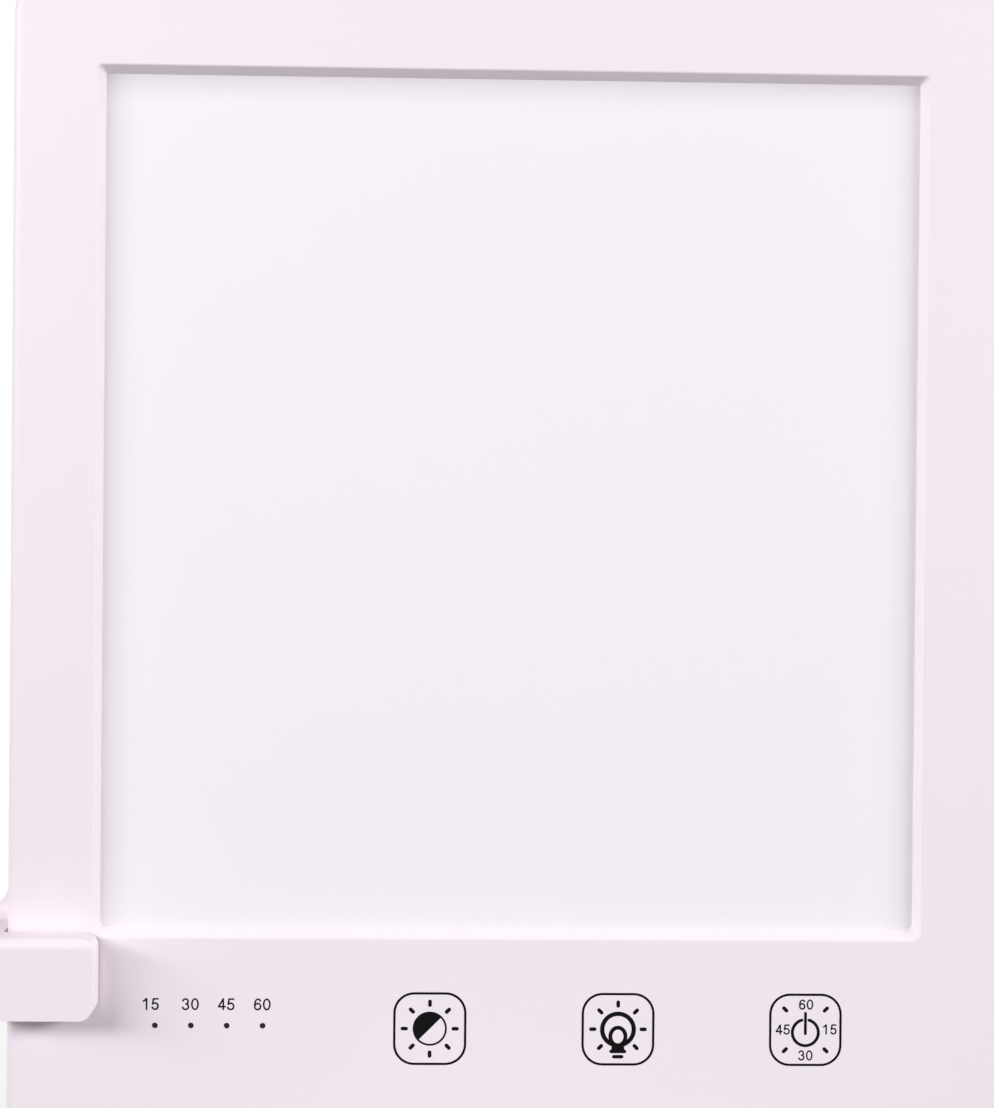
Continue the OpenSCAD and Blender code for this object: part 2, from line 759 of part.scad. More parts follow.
// Ear in the panel's side view: x is height, y is depth
module bracket_ear() {
    translate([tilt_up, -tilt_back]) circle(knuckle_r);
    polygon([
        [tilt_up - ear_base_r, plate_back + cut],
        [tilt_up - knuckle_r, -tilt_back],
        [tilt_up + knuckle_r, -tilt_back],
        [tilt_up + ear_base_r, plate_back + cut]
    ]);
}

// Two gussets beside each ear that clear its cap: long ones towards the pad, short ones outwards
module bracket_gussets() {
    top = cap_r + lay_in + gusset_clear - tilt_back;
    for (reach = [-gusset_long, gusset_short], side = [-1, 1]) {
        foot = sign(reach) * ear_out;
        translate([0, tilt_up + side * gusset_side + gusset_t / 2, 0]) rotate([90, 0, 0])
            linear_extrude(gusset_t) polygon([
                [foot - sign(reach) * cut, plate_back + cut],
                [foot - sign(reach) * cut, top],
                [foot, top],
                [foot + reach, plate_back],
                [foot + reach, plate_back + cut]
            ]);
    }
}

module jaw_liner() color("dimgray") at_panel() {
    h = jaw_h - 2;
    translate([edge_x - liner_t, jaw_bottom + 1, 1]) cube([liner_t, h, panel_t + liner_t - 1]);
    translate([edge_x - liner_t, jaw_bottom + 1, panel_t]) cube([jaw_reach - 1 + liner_t, h, liner_t]);
}

module bracket_inserts() color("goldenrod") at_panel() at_bracket_screws() difference() {
    cylinder(d = insert_d, h = insert_len);
    translate([0, 0, -cut]) cylinder(d = bracket_screw_d, h = insert_len + 2 * cut);
}

module bracket_screws() color("silver") at_panel() at_bracket_screws()
    translate([0, 0, plate_back + bracket_head_t]) screw(
        bracket_screw_d, plate_t - bracket_head_t + insert_len - 0.4,
        bracket_head_d, bracket_head_t - 0.2
    );

// ---- Hinge hardware, drawn about an axis along X ----

// Bore, head pocket, nut pocket and cap seats of a pair of ears
module ear_pockets() {
    rod_x(-ear_out - cut, ear_out + cut, pin_d / 2);
    rod_x(ear_out - pocket_depth, ear_out + cut, head_r + lay_in / 2);
    translate([-ear_out - cut, 0, 0]) rotate([0, 90, 0])
        cylinder(r = nut_r + lay_in, h = pocket_depth + cut, $fn = 6);
    for (side = [-1, 1]) rod_x(
        side > 0 ? ear_out - cap_seat : -ear_out - cut,
        side > 0 ? ear_out + cut : -ear_out + cap_seat,
        cap_r + lay_in / 2
    );
}

module hinge_pin() {
    rod_x(-ear_out + cap_seat + lay_in, ear_out - pocket_depth, pin_d / 2);
    rod_x(ear_out - pocket_depth, ear_out - pocket_depth + head_t, head_r);
}

module hinge_nut() {
    difference() {
        translate([-ear_out + pocket_depth - head_t, 0, 0]) rotate([0, 90, 0])
            cylinder(r = nut_r, h = head_t, $fn = 6);
        rod_x(-ear_out, ear_out, pin_d / 2);
    }
}

// Shallow domed caps over both ends
module hinge_caps() {
    dome = 0.8;
    for (side = [-1, 1]) mirror([side < 0 ? 1 : 0, 0, 0]) translate([ear_out - cap_seat, 0, 0])
        rotate([0, 90, 0]) rotate_extrude() {
            square([cap_r, cap_seat]);
            translate([0, cap_seat]) square([cap_r - dome, dome]);
            intersection() {
                translate([cap_r - dome, cap_seat]) circle(dome);
                translate([cap_r - dome - 0.1, cap_seat - 0.1]) square(dome + 0.2);
            }
        }
}

module knuckle_bushes() {
    for (side = [-1, 1]) mirror([side < 0 ? 1 : 0, 0, 0]) difference() {
        union() {
            rod_x(1, knuckle_w / 2, pin_d / 2 + bush_wall);
            rod_x(knuckle_w / 2, knuckle_w / 2 + flange_t, pin_d / 2 + bush_wall + 2.5);
        }
        rod_x(0, ear_out, pin_d / 2 + running);
    }
}

module tilt_pin() color("silver") at_tilt_axis() hinge_pin();
module tilt_nut() color("silver") at_tilt_axis() hinge_nut();
module tilt_caps() color("white") at_tilt_axis() hinge_caps();
module arm_pin() color("silver") at_arm_axis() hinge_pin();
module arm_nut() color("silver") at_arm_axis() hinge_nut();
module arm_caps() color("white") at_arm_axis() hinge_caps();

module arm_bushes() color("gray") {
    at_tilt_axis() knuckle_bushes();
    at_arm_axis() knuckle_bushes();
}

// ---- Arm ----

module arm_plate(w, len, r, from, to) {
    translate([0, to, arm_length / 2]) rotate([90, 0, 0]) linear_extrude(to - from) round_rect(w, len, r);
}

module arm_body() color("white") at_arm_axis() difference() {
    union() {
        for (z = [0, arm_length]) translate([0, 0, z]) rod_x(-knuckle_w / 2, knuckle_w / 2, knuckle_r);
        translate([-knuckle_w / 2, -arm_t / 2, 0]) cube([knuckle_w, arm_t, arm_length]);
        arm_plate(arm_w, arm_body_len, arm_corner, -arm_t / 2, arm_t / 2);
    }
    difference() {
        arm_plate(
            arm_pocket_w, arm_pocket_len, arm_pocket_corner,
            -arm_t / 2 + arm_front_wall, arm_t / 2 + cut
        );
        arm_ribs();
    }
    arm_plate(
        arm_pocket_w + 2 * cover_lap, arm_pocket_len + 2 * cover_lap, arm_pocket_corner + cover_lap,
        arm_t / 2 - cover_t, arm_t / 2 + cut
    );
    at_cover_screws() cylinder(d = cover_screw_d, h = arm_t - arm_front_wall);
    for (z = [0, arm_length]) translate([0, 0, z]) rod_x(-knuckle_w, knuckle_w, pin_d / 2 + bush_wall);
}

module at_cover_screws() {
    for (side = [-1, 1])
        translate([0, arm_t / 2, arm_length / 2 + side * cover_screw_z]) rotate([90, 0, 0]) children();
}

// Screw posts and cross ribs inside the arm
module arm_ribs() {
    at_cover_screws() translate([0, 0, cover_t]) cylinder(d = cover_screw_d + 3.4, h = arm_t);
    for (a = [-45, 45]) translate([0, 0, arm_length / 2]) rotate([0, a, 0])
        translate([-rib_t / 2, -arm_t / 2, -arm_w]) cube([rib_t, arm_t - cover_t, 2 * arm_w]);
}

module arm_cover() color("white") at_arm_axis() difference() {
    arm_plate(
        arm_pocket_w + 2 * cover_lap - lay_in,
        arm_pocket_len + 2 * cover_lap - lay_in,
        arm_pocket_corner + cover_lap - lay_in / 2,
        arm_t / 2 - cover_t,
        arm_t / 2
    );
    at_cover_screws() {
        translate([0, 0, -cut]) cylinder(d = cover_screw_d + lay_in, h = cover_t + 2 * cut);
        translate([0, 0, -cut]) cylinder(d = cover_head_d + lay_in, h = cover_head_t + cut);
    }
}

module arm_cover_screws() color("silver") at_arm_axis() at_cover_screws()
    translate([0, 0, cover_head_t]) screw(cover_screw_d, cover_screw_len, cover_head_d, cover_head_t - 0.1);

// ---- Turret and spindle ----

module turret() color("white") difference() {
    union() {
        translate([0, 0, turret_bottom]) rotate_extrude() {
            edge = 2;
            square([turret_d / 2 - edge, turret_t]);
            square([turret_d / 2, turret_t - edge]);
            translate([turret_d / 2 - edge, turret_t - edge]) circle(edge);
        }
        for (sx = [-1, 1]) translate([sx * (ear_out - ear_t / 2), 0, 0]) along_x(ear_t) turret_ear();
        translate([stop_r, 0, turret_bottom - stop_drop]) cylinder(d = stop_d, h = stop_drop + cut);
    }
    translate([0, 0, turret_bottom - cut]) cylinder(d = spindle_d, h = spindle_grip + cut);
    at_arm_axis() ear_pockets();
}

module turret_ear() {
    translate([0, axis_low_z]) circle(knuckle_r);
    polygon([
        [-ear_base_r, turret_top - cut],
        [-knuckle_r, axis_low_z],
        [knuckle_r, axis_low_z],
        [ear_base_r, turret_top - cut]
    ]);
}

module spindle() color("silver") translate([0, 0, spindle_bottom])
    cylinder(d = spindle_d, h = turret_bottom + spindle_grip - spindle_bottom);

module spindle_nut() color("silver") difference() {
    translate([0, 0, washer_bottom - nut_t]) cylinder(r = spindle_nut_r, h = nut_t, $fn = 6);
    cylinder(d = spindle_d, h = hub_bottom);
}

module spring_washer() color("silver") difference() {
    translate([0, 0, washer_bottom]) cylinder(d = 2 * spindle_nut_r + 2, h = spring_washer_t);
    cylinder(d = spindle_d, h = hub_bottom);
}

// ---- Base ----

module base_shell() color("white") difference() {
    union() {
        rotate_extrude() difference() {
            base_profile(base_d / 2, base_h, base_edge, foot_proud);
            base_profile(
                base_d / 2 - base_wall, base_h - base_wall, base_edge - base_wall, foot_proud - cut
            );
        }
        translate([0, 0, hub_bottom]) cylinder(d = hub_d, h = base_h - cut - hub_bottom);
        at_base_screws() translate([0, 0, bottom_z])
            cylinder(d = base_boss_d, h = base_h - cut - bottom_z);
    }
    translate([0, 0, hub_bottom - cut]) cylinder(d = spindle_d + 2 * running + 2 * sleeve_wall, h = base_h);
    thrust_groove();
    stop_groove();
    at_base_screws() translate([0, 0, bottom_z - cut])
        cylinder(d = screw_d, h = base_screw_len + cut);
}

// Half section of the base: flat top, rounded upper edge and straight side
module base_profile(r, top, edge, bottom) {
    translate([0, bottom]) square([r - edge, top - bottom]);
    translate([0, bottom]) square([r, top - bottom - edge]);
    translate([r - edge, top - edge]) circle(edge);
}

module thrust_groove() {
    translate([0, 0, base_h + thrust_proud - thrust_t]) difference() {
        cylinder(d = thrust_out_d + lay_in, h = thrust_t);
        translate([0, 0, -cut]) cylinder(d = thrust_in_d - lay_in, h = thrust_t + 2 * cut);
    }
}

// Arc that the turret's stop runs in
module stop_groove() {
    half_w = stop_d / 2 + stop_play;
    floor_z = turret_bottom - stop_drop - stop_play;
    translate([0, 0, floor_z]) {
        rotate([0, 0, -swivel_half]) rotate_extrude(angle = 2 * swivel_half)
            translate([stop_r - half_w, 0]) square([2 * half_w, base_h]);
        for (a = [-swivel_half, swivel_half]) rotate([0, 0, a])
            translate([stop_r, 0, 0]) cylinder(r = half_w, h = base_h);
    }
}

module swivel_sleeve() color("gray") translate([0, 0, hub_bottom]) difference() {
    cylinder(d = spindle_d + 2 * running + 2 * sleeve_wall, h = base_h - hub_bottom);
    translate([0, 0, -cut]) cylinder(d = spindle_d + 2 * running, h = base_h);
}

module thrust_ring() color("gray") translate([0, 0, base_h + thrust_proud - thrust_t]) difference() {
    cylinder(d = thrust_out_d, h = thrust_t);
    translate([0, 0, -cut]) cylinder(d = thrust_in_d, h = thrust_t + 2 * cut);
}

module ballast_disc() color("dimgray") translate([0, 0, bottom_z]) difference() {
    cylinder(d = ballast_d, h = ballast_t);
    translate([0, 0, -cut]) cylinder(d = ballast_hole_d, h = ballast_t + 2 * cut);
    at_base_screws() translate([0, 0, -cut])
        cylinder(d = base_boss_d + 1, h = ballast_t + 2 * cut);
}

module bottom_plate() color("gray") difference() {
    translate([0, 0, foot_proud]) cylinder(d = bottom_d, h = bottom_t);
    cylinder(d = 2 * spindle_nut_r + 6, h = bottom_z + cut);
    at_base_screws() {
        cylinder(d = screw_d + lay_in, h = bottom_z + cut);
        cylinder(d = screw_head_d + lay_in, h = foot_proud + 1);
    }
    cylinder(d = foot_pad_d + 2 * lay_in, h = foot_t);
}

module base_screws() color("silver") at_base_screws()
    translate([0, 0, foot_proud + 1]) screw(screw_d, base_screw_len, screw_head_d, base_head_t);

// Foam rubber disc that covers the spindle's end, with a hole at each screw
module foot_pad() color("dimgray") difference() {
    cylinder(d = foot_pad_d, h = foot_t);
    at_base_screws() translate([0, 0, -cut]) cylinder(d = screw_head_d + 2, h = foot_t + 2 * cut);
}

front_bezel();
rear_cover();
diffuser();
light_guide();
reflector_sheet();
heat_spreader();
led_strip_left();
led_strip_right();
led_chips();
touch_board();
touch_springs();
timer_leds();
timer_light_pipe();
driver_board();
driver_parts();
ribbon_cable();
dc_jack();
housing_screws();
board_screws();
edge_bracket();
jaw_liner();
bracket_inserts();
bracket_screws();
tilt_pin();
tilt_nut();
tilt_caps();
arm_body();
arm_cover();
arm_cover_screws();
arm_bushes();
turret();
arm_pin();
arm_nut();
arm_caps();
spindle();
spindle_nut();
spring_washer();
base_shell();
swivel_sleeve();
thrust_ring();
ballast_disc();
bottom_plate();
base_screws();
foot_pad();
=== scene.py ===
import json
import math

import bmesh
import bpy
from mathutils import Matrix, Vector


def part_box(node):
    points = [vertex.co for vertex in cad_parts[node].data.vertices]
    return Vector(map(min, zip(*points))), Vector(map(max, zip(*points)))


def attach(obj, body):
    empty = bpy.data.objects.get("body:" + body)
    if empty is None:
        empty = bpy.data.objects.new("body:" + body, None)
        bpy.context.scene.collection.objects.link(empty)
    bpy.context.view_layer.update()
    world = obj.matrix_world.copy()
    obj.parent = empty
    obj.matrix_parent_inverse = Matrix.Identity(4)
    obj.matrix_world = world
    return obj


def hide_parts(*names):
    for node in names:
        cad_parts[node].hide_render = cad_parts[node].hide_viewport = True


# Light therapy lamp: the looks of a white moulded panel with printed touch keys, held by an edge
# bracket on a short arm and a round base. Sizes are in millimetres until a mesh is filled.

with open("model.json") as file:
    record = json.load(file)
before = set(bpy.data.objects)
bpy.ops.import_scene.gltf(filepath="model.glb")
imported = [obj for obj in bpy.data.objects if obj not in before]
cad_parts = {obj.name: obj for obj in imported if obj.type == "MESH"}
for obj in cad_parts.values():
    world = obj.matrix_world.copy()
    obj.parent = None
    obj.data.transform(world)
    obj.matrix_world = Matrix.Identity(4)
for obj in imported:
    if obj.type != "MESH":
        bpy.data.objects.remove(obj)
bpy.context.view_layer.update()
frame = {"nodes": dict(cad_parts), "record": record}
mm = 0.001
print("frame loaded:", len(frame["nodes"]), "nodes")


def boxMm(node):
    low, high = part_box(node)
    return low / mm, high / mm


# ---- Camera ----

photoCamera = {
    "place": (-13.365, -446.227, 185.584),
    "yaw": 0.0253,
    "pitch": -0.0068,
    "roll": 0.0092,
    "focalPixels": 2056.6,
    "longSidePixels": 1108,
    "sensor": 36.0,
}


def addCamera(look):
    yaw, pitch, roll = look["yaw"], look["pitch"], look["roll"]
    ahead = Vector((math.sin(yaw) * math.cos(pitch), math.cos(yaw) * math.cos(pitch), math.sin(pitch)))
    level = Vector((math.cos(yaw), -math.sin(yaw), 0))
    upright = level.cross(ahead)
    right = level * math.cos(roll) + upright * math.sin(roll)
    up = upright * math.cos(roll) - level * math.sin(roll)
    data = bpy.data.cameras.new("photoCamera")
    data.sensor_width = look["sensor"]
    data.lens = look["focalPixels"] / look["longSidePixels"] * look["sensor"]
    data.clip_start = 0.01
    camera = bpy.data.objects.new("photoCamera", data)
    turn = Matrix((right, up, -ahead)).transposed().to_4x4()
    camera.matrix_world = Matrix.Translation(Vector(look["place"]) * mm) @ turn
    bpy.context.scene.collection.objects.link(camera)
    bpy.context.scene.camera = camera


addCamera(photoCamera)
bpy.context.scene.view_settings.view_transform = "Standard"
print("camera set")


# ---- Finishes ----


def linear(hexColour):
    # sRGB hex to the linear values that a shader reads
    parts = [int(hexColour[i : i + 2], 16) / 255 for i in (1, 3, 5)]
    return tuple(c / 12.92 if c <= 0.04045 else ((c + 0.055) / 1.055) ** 2.4 for c in parts) + (1.0,)


def addNode(tree, kind, values=None, links=None):
    # A node with its settings and what feeds it: input names and numbers first, then its own properties
    node = tree.nodes.new(kind)
    for key, value in (values or {}).items():
        if not isinstance(key, int) and hasattr(node, key):
            setattr(node, key, value)
        else:
            node.inputs[key].default_value = value
    for key, source in (links or {}).items():
        tree.links.new(source, node.inputs[key])
    return node


def perMetre(sizeMm):
    # Noise scale that gives features of this size
    return 1 / (sizeMm * mm)


def raysOf(tree, *kinds):
    # 1 where the ray is of one of these kinds
    path = addNode(tree, "ShaderNodeLightPath")
    either = path.outputs[kinds[0]]
    for kind in kinds[1:]:
        either = addNode(
            tree, "ShaderNodeMath", {"operation": "MAXIMUM"}, {0: either, 1: path.outputs[kind]}
        ).outputs[0]
    return either


def makeFinish(name, look):
    # Colour drifts over patches, roughness and relief follow the grain, all at real sizes
    material = bpy.data.materials.new(name)
    material.use_nodes = True
    tree = material.node_tree
    shader = tree.nodes["Principled BSDF"]
    for socket, value in look.get("shader", {}).items():
        shader.inputs[socket].default_value = value
    place = addNode(tree, "ShaderNodeTexCoord")
    stretched = addNode(
        tree, "ShaderNodeMapping", {"Scale": look.get("stretch", (1, 1, 1))},
        {"Vector": place.outputs["Object"]},
    )
    patches = addNode(
        tree, "ShaderNodeTexNoise", {"Scale": perMetre(look["patch"]), "Detail": 3.0},
        {"Vector": place.outputs["Object"]},
    )
    grain = addNode(
        tree, "ShaderNodeTexNoise", {"Scale": perMetre(look["grain"]), "Detail": 2.0},
        {"Vector": stretched.outputs["Vector"]},
    )
    colour = addNode(
        tree, "ShaderNodeMix", {"data_type": "RGBA", 6: linear(look["colour"]), 7: linear(look["shade"])},
        {0: patches.outputs["Fac"]},
    )
    rough = addNode(
        tree, "ShaderNodeMapRange",
        {"From Min": 0.3, "From Max": 0.7, "To Min": look["roughness"][0], "To Max": look["roughness"][1]},
        {"Value": grain.outputs["Fac"]},
    )
    relief = addNode(
        tree, "ShaderNodeBump", {"Strength": look.get("reliefStrength", 0.3), "Distance": look["relief"] * mm},
        {"Height": grain.outputs["Fac"]},
    )
    tree.links.new(colour.outputs[2], shader.inputs["Base Color"])
    tree.links.new(rough.outputs["Result"], shader.inputs["Roughness"])
    tree.links.new(relief.outputs["Normal"], shader.inputs["Normal"])
    return material


finishes = {
    # ABS, injection moulded in a fine spark-eroded tool: satin, with a faint pink cast
    "housing_plastic": {
        "colour": "#F8EEF5", "shade": "#F6EBF3", "patch": 60, "grain": 0.5, "relief": 0.004,
        "roughness": (0.42, 0.5), "shader": {"IOR": 1.53},
    },
    # The same ABS from a coarser eroded tool, for the base: dull, so lamps low behind it don't glare
    "base_plastic": {
        "colour": "#F4E9F0", "shade": "#F2E6EE", "patch": 60, "grain": 0.7, "relief": 0.008,
        "roughness": (0.7, 0.78), "shader": {"IOR": 1.53, "Specular IOR Level": 0.25},
    },
    # Acrylic, cast clear and polished
    "clear_acrylic": {
        "colour": "#EEF6F7", "shade": "#E4F0F2", "patch": 40, "grain": 2, "relief": 0.002,
        "roughness": (0.05, 0.1), "shader": {"IOR": 1.49, "Transmission Weight": 0.6},
    },
    # Polyester film, calendered, white on both sides
    "reflector_film": {
        "colour": "#F8F8F8", "shade": "#F2F3F4", "patch": 30, "grain": 0.6, "relief": 0.003,
        "roughness": (0.35, 0.45),
    },
    # Aluminium sheet, rolled: fine lines along the roll
    "spreader_aluminium": {
        "colour": "#CFD1D4", "shade": "#C2C4C8", "patch": 25, "grain": 0.8, "relief": 0.004,
        "stretch": (1, 1, 0.04), "roughness": (0.3, 0.45), "shader": {"Metallic": 1.0},
    },
    # Glass laminate under a white solder mask
    "strip_board": {
        "colour": "#F0F0EA", "shade": "#E8E8E0", "patch": 8, "grain": 0.4, "relief": 0.01,
        "roughness": (0.3, 0.4),
    },
    # Light diode: silicone with yellow phosphor in a white package
    "diode_package": {
        "colour": "#F1DA7A", "shade": "#E9CC5C", "patch": 1, "grain": 0.2, "relief": 0.01,
        "roughness": (0.25, 0.35),
    },
    # Glass laminate under a green solder mask
    "circuit_board": {
        "colour": "#1F6B41", "shade": "#185A36", "patch": 6, "grain": 0.4, "relief": 0.02,
        "roughness": (0.28, 0.4),
    },
    # Epoxy, moulded black round the components
    "component_black": {
        "colour": "#1B1B1E", "shade": "#242428", "patch": 2, "grain": 0.2, "relief": 0.01,
        "roughness": (0.5, 0.65),
    },
    # Flat cable in grey vinyl
    "cable_grey": {
        "colour": "#8F9094", "shade": "#838489", "patch": 3, "grain": 0.5, "relief": 0.02,
        "roughness": (0.45, 0.6),
    },
    # Nylon, moulded black: the direct-current inlet
    "jack_black": {
        "colour": "#121213", "shade": "#1B1B1D", "patch": 4, "grain": 0.3, "relief": 0.005,
        "roughness": (0.35, 0.45),
    },
    # Polycarbonate with smoke tint, polished
    "smoke_pipe": {
        "colour": "#17171A", "shade": "#1E1E22", "patch": 2, "grain": 0.4, "relief": 0.001,
        "roughness": (0.12, 0.2), "shader": {"IOR": 1.58, "Specular IOR Level": 0.2},
    },
    # Epoxy ink, pad printed: dense black and dull
    "key_ink": {
        "colour": "#050405", "shade": "#0A080A", "patch": 3, "grain": 0.15, "relief": 0.003,
        "roughness": (0.4, 0.5), "shader": {"Specular IOR Level": 0.08},
    },
    # Spring steel, drawn and nickel plated
    "spring_steel": {
        "colour": "#B9B6AF", "shade": "#A9A69F", "patch": 3, "grain": 0.3, "relief": 0.004,
        "roughness": (0.22, 0.35), "shader": {"Metallic": 1.0},
    },
    # Steel, cold headed and zinc plated: bright with a dull bloom
    "screw_steel": {
        "colour": "#B4B6B8", "shade": "#9DA0A4", "patch": 2, "grain": 0.3, "relief": 0.006,
        "roughness": (0.25, 0.42), "shader": {"Metallic": 1.0},
    },
    # Brass, turned and knurled
    "insert_brass": {
        "colour": "#D2AE62", "shade": "#BE994E", "patch": 2, "grain": 0.3, "relief": 0.02,
        "stretch": (1, 0.2, 1), "roughness": (0.25, 0.4), "shader": {"Metallic": 1.0},
    },
    # Soft rubber, moulded: dull dark grey
    "liner_rubber": {
        "colour": "#3A3A3C", "shade": "#323234", "patch": 6, "grain": 0.4, "relief": 0.02,
        "roughness": (0.7, 0.85),
    },
    # Foamed rubber sheet, die cut: open fine cells
    "foot_rubber": {
        "colour": "#2C2C2E", "shade": "#232325", "patch": 12, "grain": 0.7, "relief": 0.08,
        "roughness": (0.8, 0.95), "reliefStrength": 0.8,
    },
    # Acetal, turned from natural rod
    "bearing_plastic": {
        "colour": "#ECE9E0", "shade": "#E4E0D6", "patch": 5, "grain": 0.4, "relief": 0.005,
        "roughness": (0.25, 0.35),
    },
    # Steel plate, flame cut and primed black
    "ballast_steel": {
        "colour": "#2F3032", "shade": "#38393B", "patch": 15, "grain": 0.8, "relief": 0.02,
        "roughness": (0.5, 0.65), "shader": {"Metallic": 0.3},
    },
    # Steel sheet, powder coated off-white: faint orange peel
    "bottom_steel": {
        "colour": "#E6E5E6", "shade": "#DEDDDF", "patch": 20, "grain": 1.6, "relief": 0.02,
        "roughness": (0.4, 0.5),
    },
}
materials = {name: makeFinish(name, look) for name, look in finishes.items()}

diffuserLook = {
    "colour": "#FBF5FB",
    "shade": "#F9F2F9",
    # painted shade: the dark colour that the sheet is mixed towards near the bezel
    "paintedShadeColour": "#A8A4A8",
    "patch": 70,
    "grain": 0.4,
    "roughness": (0.45, 0.6),
    "ior": 1.49,
    # painted shade along the window: axis, side, share of the painted shade colour at the bezel, and how far in
    # it runs: the right edge has none
    "edges": ((0, "low", 0.15, 9), (2, "high", 0.38, 7.5), (2, "low", 0.03, 6)),
    "underBezel": 0.6,  # the fall starts this share of its reach behind the bezel
    "atStart": 1.4,  # and this much stronger there than at the bezel's edge
}


def makeOpalWithPaintedShade(look, windowLow, windowHigh):
    # Opal acrylic, extruded with one matt face, with painted shade: the sheet is drawn darker towards
    # the bezel on the left, top and bottom, where the recess shades it
    material = bpy.data.materials.new("opal_diffuser")
    material.use_nodes = True
    tree = material.node_tree
    shader = tree.nodes["Principled BSDF"]
    shader.inputs["IOR"].default_value = look["ior"]
    place = addNode(tree, "ShaderNodeTexCoord")
    axes = addNode(tree, "ShaderNodeSeparateXYZ", None, {"Vector": place.outputs["Object"]})
    patches = addNode(
        tree, "ShaderNodeTexNoise", {"Scale": perMetre(look["patch"]), "Detail": 2.0},
        {"Vector": place.outputs["Object"]},
    )
    milky = addNode(
        tree, "ShaderNodeMix", {"data_type": "RGBA", 6: linear(look["colour"]), 7: linear(look["shade"])},
        {0: patches.outputs["Fac"]},
    )
    # painted shade: the darkening summed over the covered edges
    paintedShade = None
    for axis, side, share, reach in look["edges"]:
        edge, inward = (windowLow[axis], 1) if side == "low" else (windowHigh[axis], -1)
        fall = addNode(
            tree, "ShaderNodeMapRange",
            {
                "interpolation_type": "SMOOTHERSTEP",
                "From Min": (edge - inward * look["underBezel"] * reach) * mm,
                "From Max": (edge + inward * reach) * mm, "To Min": look["atStart"] * share, "To Max": 0.0,
            },
            {"Value": axes.outputs[axis]},
        ).outputs["Result"]
        if paintedShade is not None:
            fall = addNode(tree, "ShaderNodeMath", {"operation": "ADD"}, {0: paintedShade, 1: fall}).outputs[0]
        paintedShade = fall
    # painted shade: the milky colour mixed towards the dark colour near the bezel
    colour = addNode(
        tree, "ShaderNodeMix", {"data_type": "RGBA", 7: linear(look["paintedShadeColour"])},
        {0: paintedShade, 6: milky.outputs[2]},
    )
    grain = addNode(
        tree, "ShaderNodeTexNoise", {"Scale": perMetre(look["grain"]), "Detail": 2.0},
        {"Vector": place.outputs["Object"]},
    )
    smoothest, roughest = look["roughness"]
    rough = addNode(
        tree, "ShaderNodeMapRange", {"To Min": smoothest, "To Max": roughest}, {"Value": grain.outputs["Fac"]}
    )
    tree.links.new(colour.outputs[2], shader.inputs["Base Color"])
    tree.links.new(rough.outputs["Result"], shader.inputs["Roughness"])
    return material


print("finishes made:", len(materials) + 1)


# ---- Mesh helpers ----


def newPiece(name, mesh):
    piece = bpy.data.objects.new(name, mesh)
    bpy.context.scene.collection.objects.link(piece)
    return piece


def fillMesh(name, points, faces, transform=None):
    # Millimetre points to a closed mesh with outward faces
    mesh = bpy.data.meshes.new(name)
    mesh.from_pydata([tuple(p) for p in points], [], faces)
    shape = bmesh.new()
    shape.from_mesh(mesh)
    bmesh.ops.remove_doubles(shape, verts=shape.verts, dist=1e-5)
    bmesh.ops.recalc_face_normals(shape, faces=shape.faces)
    shape.to_mesh(mesh)
    shape.free()
    mesh.transform(Matrix.Scale(mm, 4) @ (transform or Matrix.Identity(4)))
    return mesh


def roundedRing(centre, width, height, lowerR, upperR=None, steps=10):
    # Points round a rectangle with round corners, from the middle of its right side, anticlockwise
    ring = []
    upperR = lowerR if upperR is None else upperR
    corners = ((1, 1, 0, upperR), (-1, 1, 90, upperR), (-1, -1, 180, lowerR), (1, -1, 270, lowerR))
    for sideX, sideY, start, r in corners:
        for step in range(steps + 1):
            angle = math.radians(start + 90 * step / steps)
            ring.append((
                centre[0] + sideX * (width / 2 - r) + r * math.cos(angle),
                centre[1] + sideY * (height / 2 - r) + r * math.sin(angle),
            ))
    return ring


def loft(rings, closed=False):
    # Faces between rings of equal count; an open loft is capped at both ends
    count = len(rings[0])
    points = [p for ring in rings for p in ring]
    pairs = [(k, k + 1) for k in range(len(rings) - 1)] + ([(len(rings) - 1, 0)] if closed else [])
    faces = [
        (a * count + i, a * count + (i + 1) % count, b * count + (i + 1) % count, b * count + i)
        for a, b in pairs for i in range(count)
    ]
    if not closed:
        faces += [tuple(range(count)), tuple((len(rings) - 1) * count + i for i in range(count))]
    return points, faces


def lathe(profile, steps=96):
    # Turns (radius, height) pairs about Z; the profile starts and ends on the axis or closes on itself
    rings = []
    for radius, height in profile:
        r = max(radius, 1e-3)
        rings.append([
            (r * math.cos(2 * math.pi * i / steps), r * math.sin(2 * math.pi * i / steps), height)
            for i in range(steps)
        ])
    onAxis = profile[0][0] < 0.01
    return loft(rings, closed=not onAxis)


def finishedMesh(piece):
    # The evaluated piece as a plain mesh, its modifiers removed
    bpy.context.view_layer.update()
    mesh = bpy.data.meshes.new_from_object(piece.evaluated_get(bpy.context.evaluated_depsgraph_get()))
    piece.modifiers.clear()
    piece.data = mesh
    return piece


def combine(piece, other, operation):
    # Cuts the other solid away or joins it on
    change = piece.modifiers.new("combine", "BOOLEAN")
    change.operation = operation
    change.object = other
    change.solver = "EXACT"
    finishedMesh(piece)
    bpy.data.objects.remove(other)
    return piece


def smooth(piece, angle=32):
    # Smooth shading that keeps flats flat and edges crisp
    for face in piece.data.polygons:
        face.use_smooth = True
    piece.data.set_sharp_from_angle(angle=math.radians(angle))
    weights = piece.modifiers.new("flatsStayFlat", "WEIGHTED_NORMAL")
    weights.keep_sharp = True
    return piece


